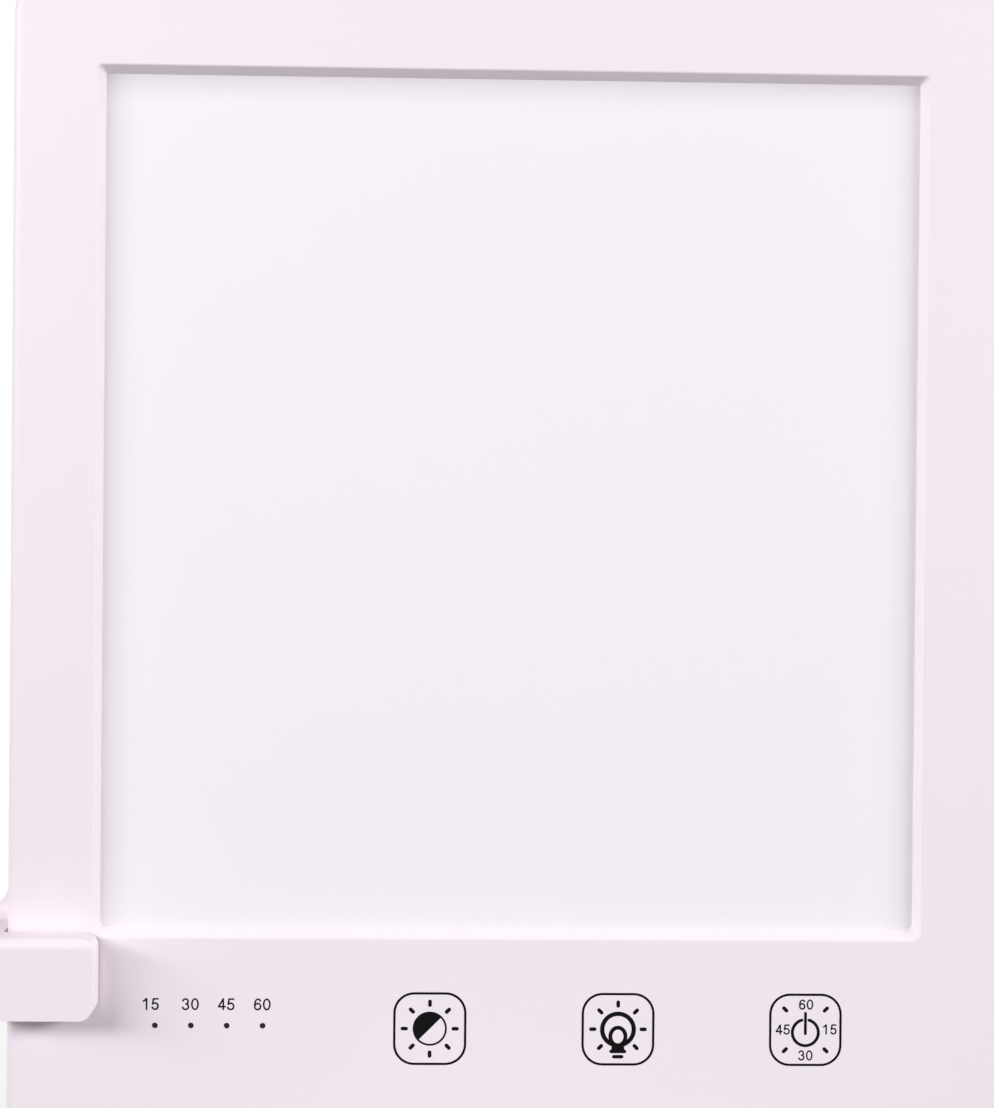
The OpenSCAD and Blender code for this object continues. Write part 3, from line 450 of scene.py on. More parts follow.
def breakEdges(piece, width, segments=3, angle=32):
    # The small radius that a mould or a deburring leaves on every edge
    edges = piece.modifiers.new("edgeRadius", "BEVEL")
    edges.width = width * mm
    edges.segments = segments
    edges.limit_method = "ANGLE"
    edges.angle_limit = math.radians(angle)
    edges.use_clamp_overlap = True
    edges.harden_normals = False
    return piece


def dress(piece, body, slotName, material, *nodes):
    piece.data.materials.clear()
    piece.data.materials.append(material)
    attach(piece, body)
    if nodes:
        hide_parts(*nodes)
    return piece


def softenedCopy(node, name, width, segments=3, angle=32):
    # A merged copy of a machined solid with its flats made whole, ready for its edge radius
    mesh = frame["nodes"][node].data.copy()
    mesh.name = name
    shape = bmesh.new()
    shape.from_mesh(mesh)
    bmesh.ops.remove_doubles(shape, verts=shape.verts, dist=1e-6)
    bmesh.ops.dissolve_limit(shape, angle_limit=math.radians(0.4), verts=shape.verts, edges=shape.edges)
    shape.to_mesh(mesh)
    shape.free()
    piece = newPiece(name, mesh)
    breakEdges(piece, width, segments, angle)
    finishedMesh(piece)
    return smooth(piece)


facingFront = Matrix.Rotation(math.radians(90), 4, "X")  # drawn flat: x right, y up, z towards the viewer


def onFront(x, z, y):
    return Matrix.Translation((x, y, z)) @ facingFront


# ---- Geometry Nodes ----


def newTree(name, sockets):
    tree = bpy.data.node_groups.new(name, "GeometryNodeTree")
    for label, kind in sockets.items():
        tree.interface.new_socket(label, in_out="INPUT", socket_type="NodeSocket" + kind)
    tree.interface.new_socket("Geometry", in_out="OUTPUT", socket_type="NodeSocketGeometry")
    source = tree.nodes.new("NodeGroupInput").outputs
    return tree, source


def endTree(tree, instances, material):
    solid = addNode(tree, "GeometryNodeRealizeInstances", None, {"Geometry": instances})
    painted = addNode(
        tree, "GeometryNodeSetMaterial", None, {"Geometry": solid.outputs["Geometry"], "Material": material}
    )
    addNode(tree, "NodeGroupOutput", None, {"Geometry": painted.outputs["Geometry"]})
    return tree


def roundedBar(tree, source):
    # A bar with round ends, Length along Y and Width along X, Depth high and centred on its plane
    outline = addNode(
        tree, "GeometryNodeCurvePrimitiveQuadrilateral", None,
        {"Width": source["Width"], "Height": source["Length"]},
    )
    radius = addNode(tree, "ShaderNodeMath", {"operation": "MULTIPLY", 1: 0.49}, {0: source["Width"]})
    ends = addNode(
        tree, "GeometryNodeFilletCurve", {"mode": "POLY", "Count": 8},
        {"Curve": outline.outputs["Curve"], "Radius": radius.outputs[0]},
    )
    face = addNode(tree, "GeometryNodeFillCurve", {"mode": "NGONS"}, {"Curve": ends.outputs["Curve"]})
    walls = addNode(
        tree, "GeometryNodeExtrudeMesh", {"Individual": False},
        {"Mesh": face.outputs["Mesh"], "Offset Scale": source["Depth"]},
    )
    under = addNode(tree, "GeometryNodeFlipFaces", None, {"Mesh": face.outputs["Mesh"]})
    both = addNode(tree, "GeometryNodeJoinGeometry")
    tree.links.new(walls.outputs["Mesh"], both.inputs["Geometry"])
    tree.links.new(under.outputs["Mesh"], both.inputs["Geometry"])
    whole = addNode(
        tree, "GeometryNodeMergeByDistance", {"Distance": 1e-6}, {"Geometry": both.outputs["Geometry"]}
    )
    half = addNode(tree, "ShaderNodeMath", {"operation": "MULTIPLY", 1: -0.5}, {0: source["Depth"]})
    drop = addNode(tree, "ShaderNodeCombineXYZ", None, {"Z": half.outputs[0]})
    centred = addNode(
        tree, "GeometryNodeTransform", None,
        {"Geometry": whole.outputs["Geometry"], "Translation": drop.outputs["Vector"]},
    )
    return centred.outputs["Geometry"]


def slotRowTree():
    # A row of upright slots, centred
    tree, source = newTree("slotRow", {
        "Count": "Int", "Pitch": "Float", "Width": "Float", "Length": "Float", "Depth": "Float",
        "Material": "Material",
    })
    gaps = addNode(tree, "ShaderNodeMath", {"operation": "SUBTRACT", 1: 1.0}, {0: source["Count"]})
    span = addNode(tree, "ShaderNodeMath", {"operation": "MULTIPLY"}, {0: gaps.outputs[0], 1: source["Pitch"]})
    start = addNode(tree, "ShaderNodeMath", {"operation": "MULTIPLY", 1: -0.5}, {0: span.outputs[0]})
    first = addNode(tree, "ShaderNodeCombineXYZ", None, {"X": start.outputs[0]})
    step = addNode(tree, "ShaderNodeCombineXYZ", None, {"X": source["Pitch"]})
    row = addNode(
        tree, "GeometryNodeMeshLine", {"mode": "OFFSET"},
        {"Count": source["Count"], "Start Location": first.outputs["Vector"], "Offset": step.outputs["Vector"]},
    )
    slots = addNode(
        tree, "GeometryNodeInstanceOnPoints", None,
        {"Points": row.outputs["Mesh"], "Instance": roundedBar(tree, source)},
    )
    return endTree(tree, slots.outputs["Instances"], source["Material"])


def rayRingTree():
    # Short strokes that point outwards from a centre, one of them left out where Left Out names it
    tree, source = newTree("rayRing", {
        "Count": "Int", "Radius": "Float", "Width": "Float", "Length": "Float", "Depth": "Float",
        "Start": "Float", "Left Out": "Int", "Material": "Material",
    })
    row = addNode(
        tree, "GeometryNodeMeshLine", {"mode": "OFFSET", "Offset": (0, 0, 0)}, {"Count": source["Count"]}
    )
    index = addNode(tree, "GeometryNodeInputIndex")
    share = addNode(tree, "ShaderNodeMath", {"operation": "DIVIDE"}, {0: index.outputs[0], 1: source["Count"]})
    turn = addNode(
        tree, "ShaderNodeMath", {"operation": "MULTIPLY_ADD", 1: 2 * math.pi},
        {0: share.outputs[0], 2: source["Start"]},
    )
    spin = addNode(tree, "ShaderNodeCombineXYZ", None, {"Z": turn.outputs[0]})
    away = addNode(tree, "ShaderNodeCombineXYZ", None, {"Y": source["Radius"]})
    stroke = addNode(
        tree, "GeometryNodeTransform", None,
        {"Geometry": roundedBar(tree, source), "Translation": away.outputs["Vector"]},
    )
    kept = addNode(
        tree, "FunctionNodeCompare", {"data_type": "INT", "operation": "NOT_EQUAL"},
        {2: index.outputs[0], 3: source["Left Out"]},
    )
    turned = addNode(tree, "FunctionNodeEulerToRotation", None, {"Euler": spin.outputs["Vector"]})
    rays = addNode(
        tree, "GeometryNodeInstanceOnPoints", None,
        {
            "Points": row.outputs["Mesh"], "Instance": stroke.outputs["Geometry"],
            "Selection": kept.outputs[0], "Rotation": turned.outputs["Rotation"],
        },
    )
    return endTree(tree, rays.outputs["Instances"], source["Material"])


def copiesTree():
    # One copy of a shape on every point of the mesh that carries the modifier
    tree, source = newTree("copiesAtPoints", {
        "Points": "Geometry", "Shape": "Object", "Size": "Float", "Material": "Material",
    })
    shape = addNode(tree, "GeometryNodeObjectInfo", None, {"Object": source["Shape"]})
    copies = addNode(
        tree, "GeometryNodeInstanceOnPoints", None,
        {"Points": source["Points"], "Instance": shape.outputs["Geometry"], "Scale": source["Size"]},
    )
    return endTree(tree, copies.outputs["Instances"], source["Material"])


def grow(name, tree, settings, points=(), transform=None):
    # Runs a tree on its own points and keeps the result as a plain mesh in place
    mesh = bpy.data.meshes.new(name)
    mesh.from_pydata([tuple(Vector(p) * mm) for p in points], [], [])
    piece = newPiece(name, mesh)
    modifier = piece.modifiers.new(tree.name, "NODES")
    modifier.node_group = tree
    for item in tree.interface.items_tree:
        if item.item_type == "SOCKET" and item.in_out == "INPUT" and item.name in settings:
            modifier[item.identifier] = settings[item.name]
    finishedMesh(piece)
    piece.data.name = name
    if transform is not None:
        moved = transform.copy()
        moved.translation *= mm
        piece.data.transform(moved)
    return piece


slotRow, rayRing, copiesAtPoints = slotRowTree(), rayRingTree(), copiesTree()
print("node trees built")


# ---- Panel housing ----

bezelLow, bezelHigh = boxMm("front_bezel")
coverHigh = boxMm("rear_cover")[1]
panel = {
    "width": bezelHigh.x - bezelLow.x,
    "height": bezelHigh.z - bezelLow.z,
    "centre": ((bezelHigh.x + bezelLow.x) / 2, (bezelHigh.z + bezelLow.z) / 2),
    "frontY": bezelLow.y,
    "seamY": bezelHigh.y,
    "backY": coverHigh.y,
    "corner": 10,
    "frontEdge": 1.8,
    "backEdge": 3,
    "seamEdge": 0.3,
    "wall": 2.2,
    "backPlate": 2,
    "tongueGap": 0.2,
    "tongue": 1.2,
    "tongueRise": 1.5,
}
window = {
    "side": 16.8,
    "top": 20,
    "chin": 43.7,
    "bevel": 1.4,
    "lowerBevel": 1.7,
    "depth": 2.4,
    "lowerCorner": 2.2,
    "upperCorner": 1.1,
    "lipRadius": 0.5,
    "lap": 3.0,
    "ledge": 1.2,
    "ledgeHeight": 1.6,
}
window["width"] = panel["width"] - 2 * window["side"]
window["height"] = panel["height"] - window["top"] - window["chin"]
window["centre"] = (panel["centre"][0], bezelLow.z + window["chin"] + window["height"] / 2)


def panelRing(inset, y):
    r = max(panel["corner"] - inset, 0.4)
    ring = roundedRing(panel["centre"], panel["width"] - 2 * inset, panel["height"] - 2 * inset, r)
    return [(x, y, z) for x, z in ring]


def windowRing(inset, y):
    lower = max(window["lowerCorner"] - 0.6 * inset, 0.4)
    upper = max(window["upperCorner"] - 0.6 * inset, 0.3)
    low = inset * window["lowerBevel"] / window["bevel"]
    middle = (window["centre"][0], window["centre"][1] + (low - inset) / 2)
    ring = roundedRing(middle, window["width"] - 2 * inset, window["height"] - inset - low, lower, upper)
    return [(x, y, z) for x, z in ring]


def quarter(steps=8):
    return [math.radians(90 * k / steps) for k in range(steps + 1)]


def frontShellRings():
    front, seam = panel["frontY"], panel["seamY"]
    slope = math.atan2(window["depth"], window["bevel"])
    tangent = window["lipRadius"] * math.tan(slope / 2)
    plateY = front + window["depth"]
    rings = [windowRing(window["bevel"], plateY)]
    for k in range(5, -1, -1):  # the small radius where the sloping border meets the front face
        a = slope * k / 5
        rings.append(windowRing(
            window["lipRadius"] * math.sin(a) - tangent, front + window["lipRadius"] * (1 - math.cos(a))
        ))
    edge = panel["frontEdge"]
    rings += [panelRing(edge * (1 - math.sin(a)), front + edge * (1 - math.cos(a))) for a in quarter()]
    lip = panel["seamEdge"]
    rings += [panelRing(lip * (1 - math.cos(a)), seam - lip * (1 - math.sin(a))) for a in quarter(3)]
    ledgeY = plateY + window["ledgeHeight"]
    rings += [
        panelRing(panel["wall"], seam),
        panelRing(panel["wall"], plateY),
        windowRing(-window["lap"] - window["ledge"], plateY),
        windowRing(-window["lap"] - window["ledge"], ledgeY),
        windowRing(-window["lap"], ledgeY),
        windowRing(-window["lap"], plateY),
    ]
    return rings


def rearShellRings():
    back, seam = panel["backY"], panel["seamY"]
    edge, lip = panel["backEdge"], panel["seamEdge"]
    tongueIn = panel["wall"] + panel["tongueGap"]
    rings = [panelRing(edge * (1 - math.sin(a)), back - edge * (1 - math.cos(a))) for a in quarter()]
    rings += [panelRing(lip * (1 - math.cos(a)), seam + lip * (1 - math.sin(a))) for a in quarter(3)]
    rings += [
        panelRing(tongueIn, seam),
        panelRing(tongueIn, seam - panel["tongueRise"]),
        panelRing(tongueIn + panel["tongue"], seam - panel["tongueRise"]),
        panelRing(tongueIn + panel["tongue"], back - panel["backPlate"]),
    ]
    return rings


def column(radius, fromY, toY, steps=32, hole=0):
    # A round post or cutter along Y about the origin, solid or with a hole
    profile = [(hole, fromY), (radius, fromY), (radius, toY), (hole, toY)]
    points, faces = lathe(profile, steps)
    return fillMesh("column", points, faces, Matrix.Rotation(math.radians(-90), 4, "X"))


def copies(name, mesh, places, material=None):
    shape = newPiece(name + "Shape", mesh)
    piece = grow(name, copiesAtPoints, {"Shape": shape, "Size": 1.0, "Material": material}, places)
    bpy.data.objects.remove(shape)
    return piece


housingPosts = {
    "inset": 6.4, "end": 9, "rows": 4, "rearD": 8, "frontD": 5.6, "holeD": 3, "threadD": 2.6,
    "wellD": 5.2, "wellDepth": 2.8,
}
postPitch = (panel["height"] - 2 * housingPosts["end"]) / (housingPosts["rows"] - 1)
postPlaces = [
    (side * (panel["width"] / 2 - housingPosts["inset"]), 0, bezelLow.z + housingPosts["end"] + row * postPitch)
    for side in (-1, 1) for row in range(housingPosts["rows"])
]
pipeLow, pipeHigh = boxMm("timer_light_pipe")
dots = {"count": 4, "barEnd": 1.5, "holeD": 1.2}
dots["pitch"] = (pipeHigh.x - pipeLow.x - 2 * dots["barEnd"]) / (dots["count"] - 1)
dotPlaces = [
    (pipeLow.x + dots["barEnd"] + i * dots["pitch"], 0, (pipeLow.z + pipeHigh.z) / 2)
    for i in range(dots["count"])
]
jackLow, jackHigh = boxMm("dc_jack")
jackHole = {"radius": 4.2, "out": 2, "depth": 3.4, "x": (jackLow.x + jackHigh.x) / 2, "y": panel["backY"] - 6.5}
white = materials["housing_plastic"]


def jackCutter():
    r, low, high = jackHole["radius"], -jackHole["out"], jackHole["depth"]
    points, faces = lathe([(0, low), (r, low), (r, high), (0, high)], 48)
    place = Matrix.Translation((jackHole["x"], jackHole["y"], bezelLow.z))
    return newPiece("jackCutter", fillMesh("jackCutter", points, faces, place))


def buildFrontBezel():
    points, faces = loft(frontShellRings(), closed=True)
    bezel = newPiece("frontBezelShell", fillMesh("frontBezelShell", points, faces))
    plateY = panel["frontY"] + window["depth"]
    posts = column(housingPosts["frontD"] / 2, plateY - 0.4, panel["seamY"] - 1)
    combine(bezel, copies("frontPosts", posts, postPlaces), "UNION")
    bores = column(housingPosts["threadD"] / 2, plateY + 0.3, panel["seamY"] + 1)
    combine(bezel, copies("frontBores", bores, postPlaces), "DIFFERENCE")
    holes = column(dots["holeD"] / 2, panel["frontY"] - 1, plateY + 1)
    combine(bezel, copies("dotHoles", holes, dotPlaces), "DIFFERENCE")
    combine(bezel, jackCutter(), "DIFFERENCE")
    smooth(bezel)
    return dress(bezel, "head", "housing_plastic", white, "front_bezel")


vents = {
    "count": 19, "pitch": 6, "width": 2.4, "length": 22, "cut": 8,
    "barHalf": 18, "fromBar": 11, "fromTop": 11,
}


def ventRow(z):
    settings = {
        "Count": vents["count"], "Pitch": vents["pitch"] * mm, "Width": vents["width"] * mm,
        "Length": vents["length"] * mm, "Depth": vents["cut"] * mm, "Material": white,
    }
    return grow("ventCutter", slotRow, settings, [], onFront(0, z, panel["backY"] - 1))


def block(low, high):
    ring = [(low[0], low[2]), (high[0], low[2]), (high[0], high[2]), (low[0], high[2])]
    points, faces = loft([[(x, y, z) for x, z in ring] for y in (low[1], high[1])])
    return newPiece("block", fillMesh("block", points, faces))


ribs = {
    "thickness": 1.4, "height": 3.9, "sunk": 0.3,
    "columns": 5, "windowShare": 5, "rows": 5, "rowStart": 2, "rowEnd": 4,
}


def coverRibs(floorY):
    # The grid on the inside of the back, seen through the vents
    half = window["width"] / 2
    low, high = bezelLow.z + window["chin"], bezelHigh.z - window["top"]
    top, under, thick = floorY - ribs["height"], floorY + ribs["sunk"], ribs["thickness"]
    bars = []
    for i in range(ribs["columns"]):
        x = (i - (ribs["columns"] - 1) / 2) * window["width"] / ribs["windowShare"]
        bars.append(block((x - thick / 2, top, low), (x + thick / 2, under, high - 1)))
    for i in range(ribs["rows"]):
        z = low + ribs["rowStart"] + i * (high - low - ribs["rowStart"] - ribs["rowEnd"]) / (ribs["rows"] - 1)
        bars.append(block((-half, top, z), (half, under, z + thick)))
    return bars


def buildRearCover():
    points, faces = loft(rearShellRings())
    cover = newPiece("rearCoverShell", fillMesh("rearCoverShell", points, faces))
    floorY = panel["backY"] - panel["backPlate"]
    for bar in coverRibs(floorY):
        combine(cover, bar, "UNION")
    posts = column(housingPosts["rearD"] / 2, panel["seamY"] - 1, floorY + 0.5)
    combine(cover, copies("rearPosts", posts, postPlaces), "UNION")
    wells = column(housingPosts["wellD"] / 2, panel["backY"] - housingPosts["wellDepth"], panel["backY"] + 2)
    combine(cover, copies("screwWells", wells, postPlaces), "DIFFERENCE")
    bores = column(housingPosts["holeD"] / 2, panel["seamY"] - 2, panel["backY"])
    combine(cover, copies("screwBores", bores, postPlaces), "DIFFERENCE")
    bar = boxMm("tilt_pin")
    barTop = (bar[0].z + bar[1].z) / 2 + vents["barHalf"]
    for z in (barTop + vents["fromBar"] + vents["length"] / 2,
              bezelHigh.z - window["top"] - vents["fromTop"] - vents["length"] / 2):
        combine(cover, ventRow(z), "DIFFERENCE")
    combine(cover, jackCutter(), "DIFFERENCE")
    smooth(cover)
    return dress(cover, "head", "housing_plastic", white, "rear_cover")


buildFrontBezel()
buildRearCover()
print("panel housing built")

windowLow = (window["centre"][0] - window["width"] / 2 + window["bevel"], 0,
             window["centre"][1] - window["height"] / 2 + window["lowerBevel"])
windowHigh = (window["centre"][0] + window["width"] / 2 - window["bevel"], 0,
              window["centre"][1] + window["height"] / 2 - window["bevel"])
materials["opal_diffuser"] = makeOpalWithPaintedShade(diffuserLook, windowLow, windowHigh)


# ---- Printed keys ----

ink = {"proud": 0.02, "sunk": 0.03}
keys = {
    "firstX": -15.55,
    "pitch": 37.75,
    "up": 25.65,
    "width": 14.65,
    "height": 14.6,
    "corner": 4.2,
    "line": 0.47,
}


def prism(outline, transform):
    # A flat outline given the thickness of the ink
    ring = [[(x, y, z) for x, y in outline] for z in (-ink["sunk"], ink["proud"])]
    points, faces = loft(ring)
    return newPiece("ink", fillMesh("ink", points, faces, transform))


def bandRing(outer, inner, transform):
    # A closed line between two outlines of equal count
    low, high = -ink["sunk"], ink["proud"]
    rings = [
        [(x, y, z) for x, y in outline]
        for outline, z in ((outer, low), (outer, high), (inner, high), (inner, low))
    ]
    points, faces = loft(rings, closed=True)
    return newPiece("ink", fillMesh("ink", points, faces, transform))


def ellipse(centre, halfWidth, halfHeight, start=0, end=360, steps=64):
    full = abs(end - start) >= 360
    return [
        (centre[0] + halfWidth * math.cos(math.radians(start + (end - start) * i / steps)),
         centre[1] + halfHeight * math.sin(math.radians(start + (end - start) * i / steps)))
        for i in range(steps if full else steps + 1)
    ]


def circle(radius, centre=(0, 0), start=0, end=360, steps=64):
    return ellipse(centre, radius, radius, start, end, steps)


def stroke(line, width):
    # The outline of a pen stroke with round ends along a line of points
    half = width / 2
    left, right = [], []
    for i, point in enumerate(line):
        before, after = line[max(i - 1, 0)], line[min(i + 1, len(line) - 1)]
        along = Vector((after[0] - before[0], after[1] - before[1])).normalized()
        across = Vector((-along.y, along.x)) * half
        left.append((point[0] + across.x, point[1] + across.y))
        right.append((point[0] - across.x, point[1] - across.y))

    def cap(centre, first):
        start = math.atan2(first[1] - centre[1], first[0] - centre[0])
        turns = [start - math.pi * k / 8 for k in range(1, 8)]
        return [(centre[0] + half * math.cos(a), centre[1] + half * math.sin(a)) for a in turns]

    return left + cap(line[-1], left[-1]) + right[::-1] + cap(line[0], right[0])


# Sans figures as pen strokes, one unit high: lines, arcs (centre, half width, half height, from, to) and rings
figureShapes = {
    "0": [("ring", (0.32, 0.5), 0.258, 0.443)],
    "1": [
        ("line", [(0.1, 0.74), (0.2, 0.8), (0.29, 0.88), (0.345, 0.945)]),
        ("line", [(0.365, 0.945), (0.365, 0.055)]),
    ],
    "3": [("arc", (0.3, 0.725), 0.215, 0.215, 165, -80), ("arc", (0.305, 0.29), 0.25, 0.235, 82, -165)],
    "4": [
        ("line", [(0.455, 0.945), (0.455, 0.055)]), ("line", [(0.44, 0.935), (0.065, 0.3)]),
        ("line", [(0.065, 0.29), (0.615, 0.29)]),
    ],
    "5": [
        ("line", [(0.165, 0.94), (0.55, 0.94)]), ("line", [(0.165, 0.935), (0.1, 0.5)]),
        ("arc", (0.305, 0.325), 0.255, 0.268, 140, -160),
    ],
    "6": [
        ("ring", (0.325, 0.315), 0.245, 0.26),
        ("line", [
            (0.545, 0.79), (0.515, 0.86), (0.45, 0.92), (0.365, 0.944), (0.27, 0.92), (0.175, 0.84),
            (0.11, 0.7), (0.082, 0.52), (0.08, 0.33),
        ]),
    ],
}
figureAdvance = 0.777


def fuse(parts):
    whole = parts[0]
    for part in parts[1:]:
        combine(whole, part, "UNION")
    return whole


def numeral(text, centre, height, weight):
    # Figures of a height, their middle at a place on the front face
    width = (len(text) - 1) * figureAdvance + 0.64
    place = onFront(centre[0], centre[1], panel["frontY"])
    half = weight / 2
    figures = []
    for k, character in enumerate(text):

        def sized(points):
            return [((x + k * figureAdvance - width / 2) * height, (y - 0.5) * height) for x, y in points]

        strokes = []
        for kind, *shape in figureShapes[character]:
            if kind == "ring":
                middle, wide, high = shape
                outer = ellipse(middle, wide + half, high + half, steps=40)
                inner = ellipse(middle, wide - half, high - half, steps=40)
                strokes.append(bandRing(sized(outer), sized(inner), place))
            else:
                line = shape[0] if kind == "line" else ellipse(*shape, steps=24)
                strokes.append(prism(stroke(sized(line), weight * height), place))
        figures.append(fuse(strokes))
    return figures


def joinAs(name, parts):
    # Several solids as one piece
    shape = bmesh.new()
    for part in parts:
        shape.from_mesh(part.data)
        bpy.data.objects.remove(part)
    mesh = bpy.data.meshes.new(name)
    shape.to_mesh(mesh)
    shape.free()
    return dress(newPiece(name, mesh), "head", "key_ink", materials["key_ink"])


def rays(x, z, radius, count, start=0.0, leftOut=-1, length=1.45, width=0.74):
    settings = {
        "Count": count, "Radius": radius * mm, "Width": width * mm, "Length": length * mm,
        "Depth": (ink["proud"] + ink["sunk"]) * mm, "Start": start, "Left Out": leftOut,
        "Material": materials["key_ink"],
    }
    y = panel["frontY"] - (ink["proud"] - ink["sunk"]) / 2
    return grow("rays", rayRing, settings, [], onFront(x, z, y))


def keyOutline(place):
    outer = roundedRing((0, 0), keys["width"], keys["height"], keys["corner"], steps=12)
    inset = 2 * keys["line"]
    inner = roundedRing(
        (0, 0), keys["width"] - inset, keys["height"] - inset, keys["corner"] - keys["line"], steps=12
    )
    return bandRing(outer, inner, place)


sun = {"radius": 3.42, "line": 0.38, "rays": 5.1}


def brightnessKey(x, z, place):
    inner = sun["radius"] - sun["line"]
    disc = bandRing(circle(sun["radius"]), circle(inner), place)
    half = prism(circle(inner + 0.05, start=45, end=225, steps=32), place)
    combine(disc, half, "UNION")
    return [keyOutline(place), disc, rays(x, z, sun["rays"], 8)]


bulb = {
    "radius": 3.17, "line": 0.88, "lift": -0.06, "open": 22, "rays": 5.06, "loopLine": 0.78,
    "loopWidth": 1.9, "loopHeight": 2.16, "loopUp": -1.45, "neckTop": -3.1, "neckTopHalf": 1.15,
    "bars": ((-4.46, 3.4), (-5.52, 2.3)), "barLine": 0.7,
}


def bulbKey(x, z, place):
    up = bulb["lift"]
    arc = circle(bulb["radius"], (0, up), 270 - bulb["open"], -90 + bulb["open"], 48)
    globe = prism(stroke(arc, bulb["line"]), place)
    wide, high, line = bulb["loopWidth"], bulb["loopHeight"], bulb["loopLine"]
    middle = (0, bulb["loopUp"])
    loop = bandRing(ellipse(middle, wide, high), ellipse(middle, wide - line, high - line), place)
    barZ, barWidth = bulb["bars"][0]
    neck = prism([
        (-barWidth / 2 + 0.3, barZ), (barWidth / 2 - 0.3, barZ),
        (bulb["neckTopHalf"], bulb["neckTop"]), (-bulb["neckTopHalf"], bulb["neckTop"]),
    ], place)
    combine(globe, neck, "UNION")
    combine(globe, loop, "UNION")
    parts = [keyOutline(place), globe, rays(x, z, bulb["rays"], 8, leftOut=4)]
    for barZ, barWidth in bulb["bars"]:
        reach = (barWidth - bulb["barLine"]) / 2
        bar = prism(stroke([(-reach, barZ), (reach, barZ)], bulb["barLine"]), place)
        if barZ == bulb["bars"][0][0]:
            combine(globe, bar, "UNION")
        else:
            parts.append(bar)
    return parts


power = {
    "radius": 2.62, "line": 0.6, "gap": 16, "ringUp": -0.56, "barTop": 3.34, "barLow": -0.8, "barLine": 0.56,
    "figureHeight": 2.02, "figureLine": 0.145, "ticks": 5.8,
}
timerFigures = (("60", 0.1, 5.1), ("30", 0.05, -5.15), ("45", -4.55, 0.05), ("15", 4.9, 0.1))


def timerKey(x, z, place):
    ring = circle(power["radius"], (0, power["ringUp"]), 90 + power["gap"], 450 - power["gap"], 56)
    parts = [keyOutline(place), prism(stroke(ring, power["line"]), place)]
    parts.append(prism(stroke([(0, power["barLow"]), (0, power["barTop"])], power["barLine"]), place))
    for text, right, up in timerFigures:
        parts += numeral(text, (x + right, z + up), power["figureHeight"], weight=power["figureLine"])
    parts.append(rays(x, z, power["ticks"], 4, start=math.pi / 4, width=0.72))
    return parts


timerLabels = {
    "height": 2.35,
    "above": 4.3,
    "line": 0.14,
    "texts": (("15", -0.85), ("30", -0.1), ("45", -0.1), ("60", -0.1)),  # figures, offset from the dot
}


def buildPrint():
    for i, (name, draw) in enumerate((
        ("printBrightnessKey", brightnessKey), ("printLampKey", bulbKey), ("printTimerKey", timerKey),
    )):
        x, z = keys["firstX"] + i * keys["pitch"], bezelLow.z + keys["up"]
        joinAs(name, draw(x, z, onFront(x, z, panel["frontY"])))
    labels = []
    for (text, offset), (x, _, z) in zip(timerLabels["texts"], dotPlaces):
        middle = (x + offset, z + timerLabels["above"])
        labels += numeral(text, middle, timerLabels["height"], weight=timerLabels["line"])
    joinAs("printTimerLabels", labels)


buildPrint()
print("keys printed")


# ---- Bracket, arm and base ----

softened = {
    # node: (piece, body, edge radius)
    "edge_bracket": ("edgeBracketMoulding", "head", 0.5),
    "tilt_caps": ("tiltHingeCaps", "head", 0.2),
    "arm_body": ("swingArmMoulding", "arm", 0.8),
    "arm_cover": ("swingArmCover", "arm", 0.3),
    "turret": ("turretMoulding", "turret", 0.6),
    "arm_caps": ("armHingeCaps", "turret", 0.2),
    "base_shell": ("baseShellMoulding", "base", 0.5),
}
for node, (name, body, radius) in softened.items():
    material = materials["base_plastic"] if body == "base" else white
    dress(softenedCopy(node, name, radius), body, "housing_plastic", material, node)
print("mouldings softened")

# Shares of the head: its rounded edge, the recess's width, span and corner, and its depth
crossScrew = {"edge": 0.45, "recess": 0.28, "span": 1.15, "corner": 2.2, "depth": 0.7, "tip": 0.6}


def screwMesh(headD, headH, shankD, shankLength):
    # Pan head with a cross recess, head's underside on z = 0 and the shank below
    r, edge, tip = headD / 2, headH * crossScrew["edge"], crossScrew["tip"]
    profile = [(0, headH)]
    profile += [(r - edge + edge * math.sin(a), headH - edge + edge * math.cos(a)) for a in quarter(5)]
    profile += [(r, 0), (shankD / 2, 0), (shankD / 2, -shankLength + tip)]
    profile += [(shankD / 2 - tip, -shankLength), (0, -shankLength)]
    points, faces = lathe(profile, 40)
    screw = newPiece("screw", fillMesh("screw", points, faces))
    for turn in (0, 90):
        across = crossScrew["recess"] * r
        outline = roundedRing((0, 0), across, crossScrew["span"] * r, across / crossScrew["corner"], steps=3)
        bottom = headH - crossScrew["depth"] * headH
        rings = [[(x, y, z) for x, y in outline] for z in (bottom, headH + 1)]
        quarterTurn = Matrix.Rotation(math.radians(turn), 4, "Z")
        cutter = newPiece("recess", fillMesh("recess", *loft(rings), quarterTurn))
        combine(screw, cutter, "DIFFERENCE")
    mesh = screw.data
    bpy.data.objects.remove(screw)
    return mesh


def screwSet(node, name, body, headD, headH, shankD, shankLength, places, turn):
    shape = newPiece(name + "Shape", screwMesh(headD, headH, shankD, shankLength))
    local = [turn.inverted() @ Vector(p) for p in places]
    settings = {"Shape": shape, "Size": 1.0, "Material": materials["screw_steel"]}
    piece = grow(name, copiesAtPoints, settings, local, turn.to_4x4())
    bpy.data.objects.remove(shape)
    smooth(piece)
    return dress(piece, body, "screw_steel", materials["screw_steel"], node)


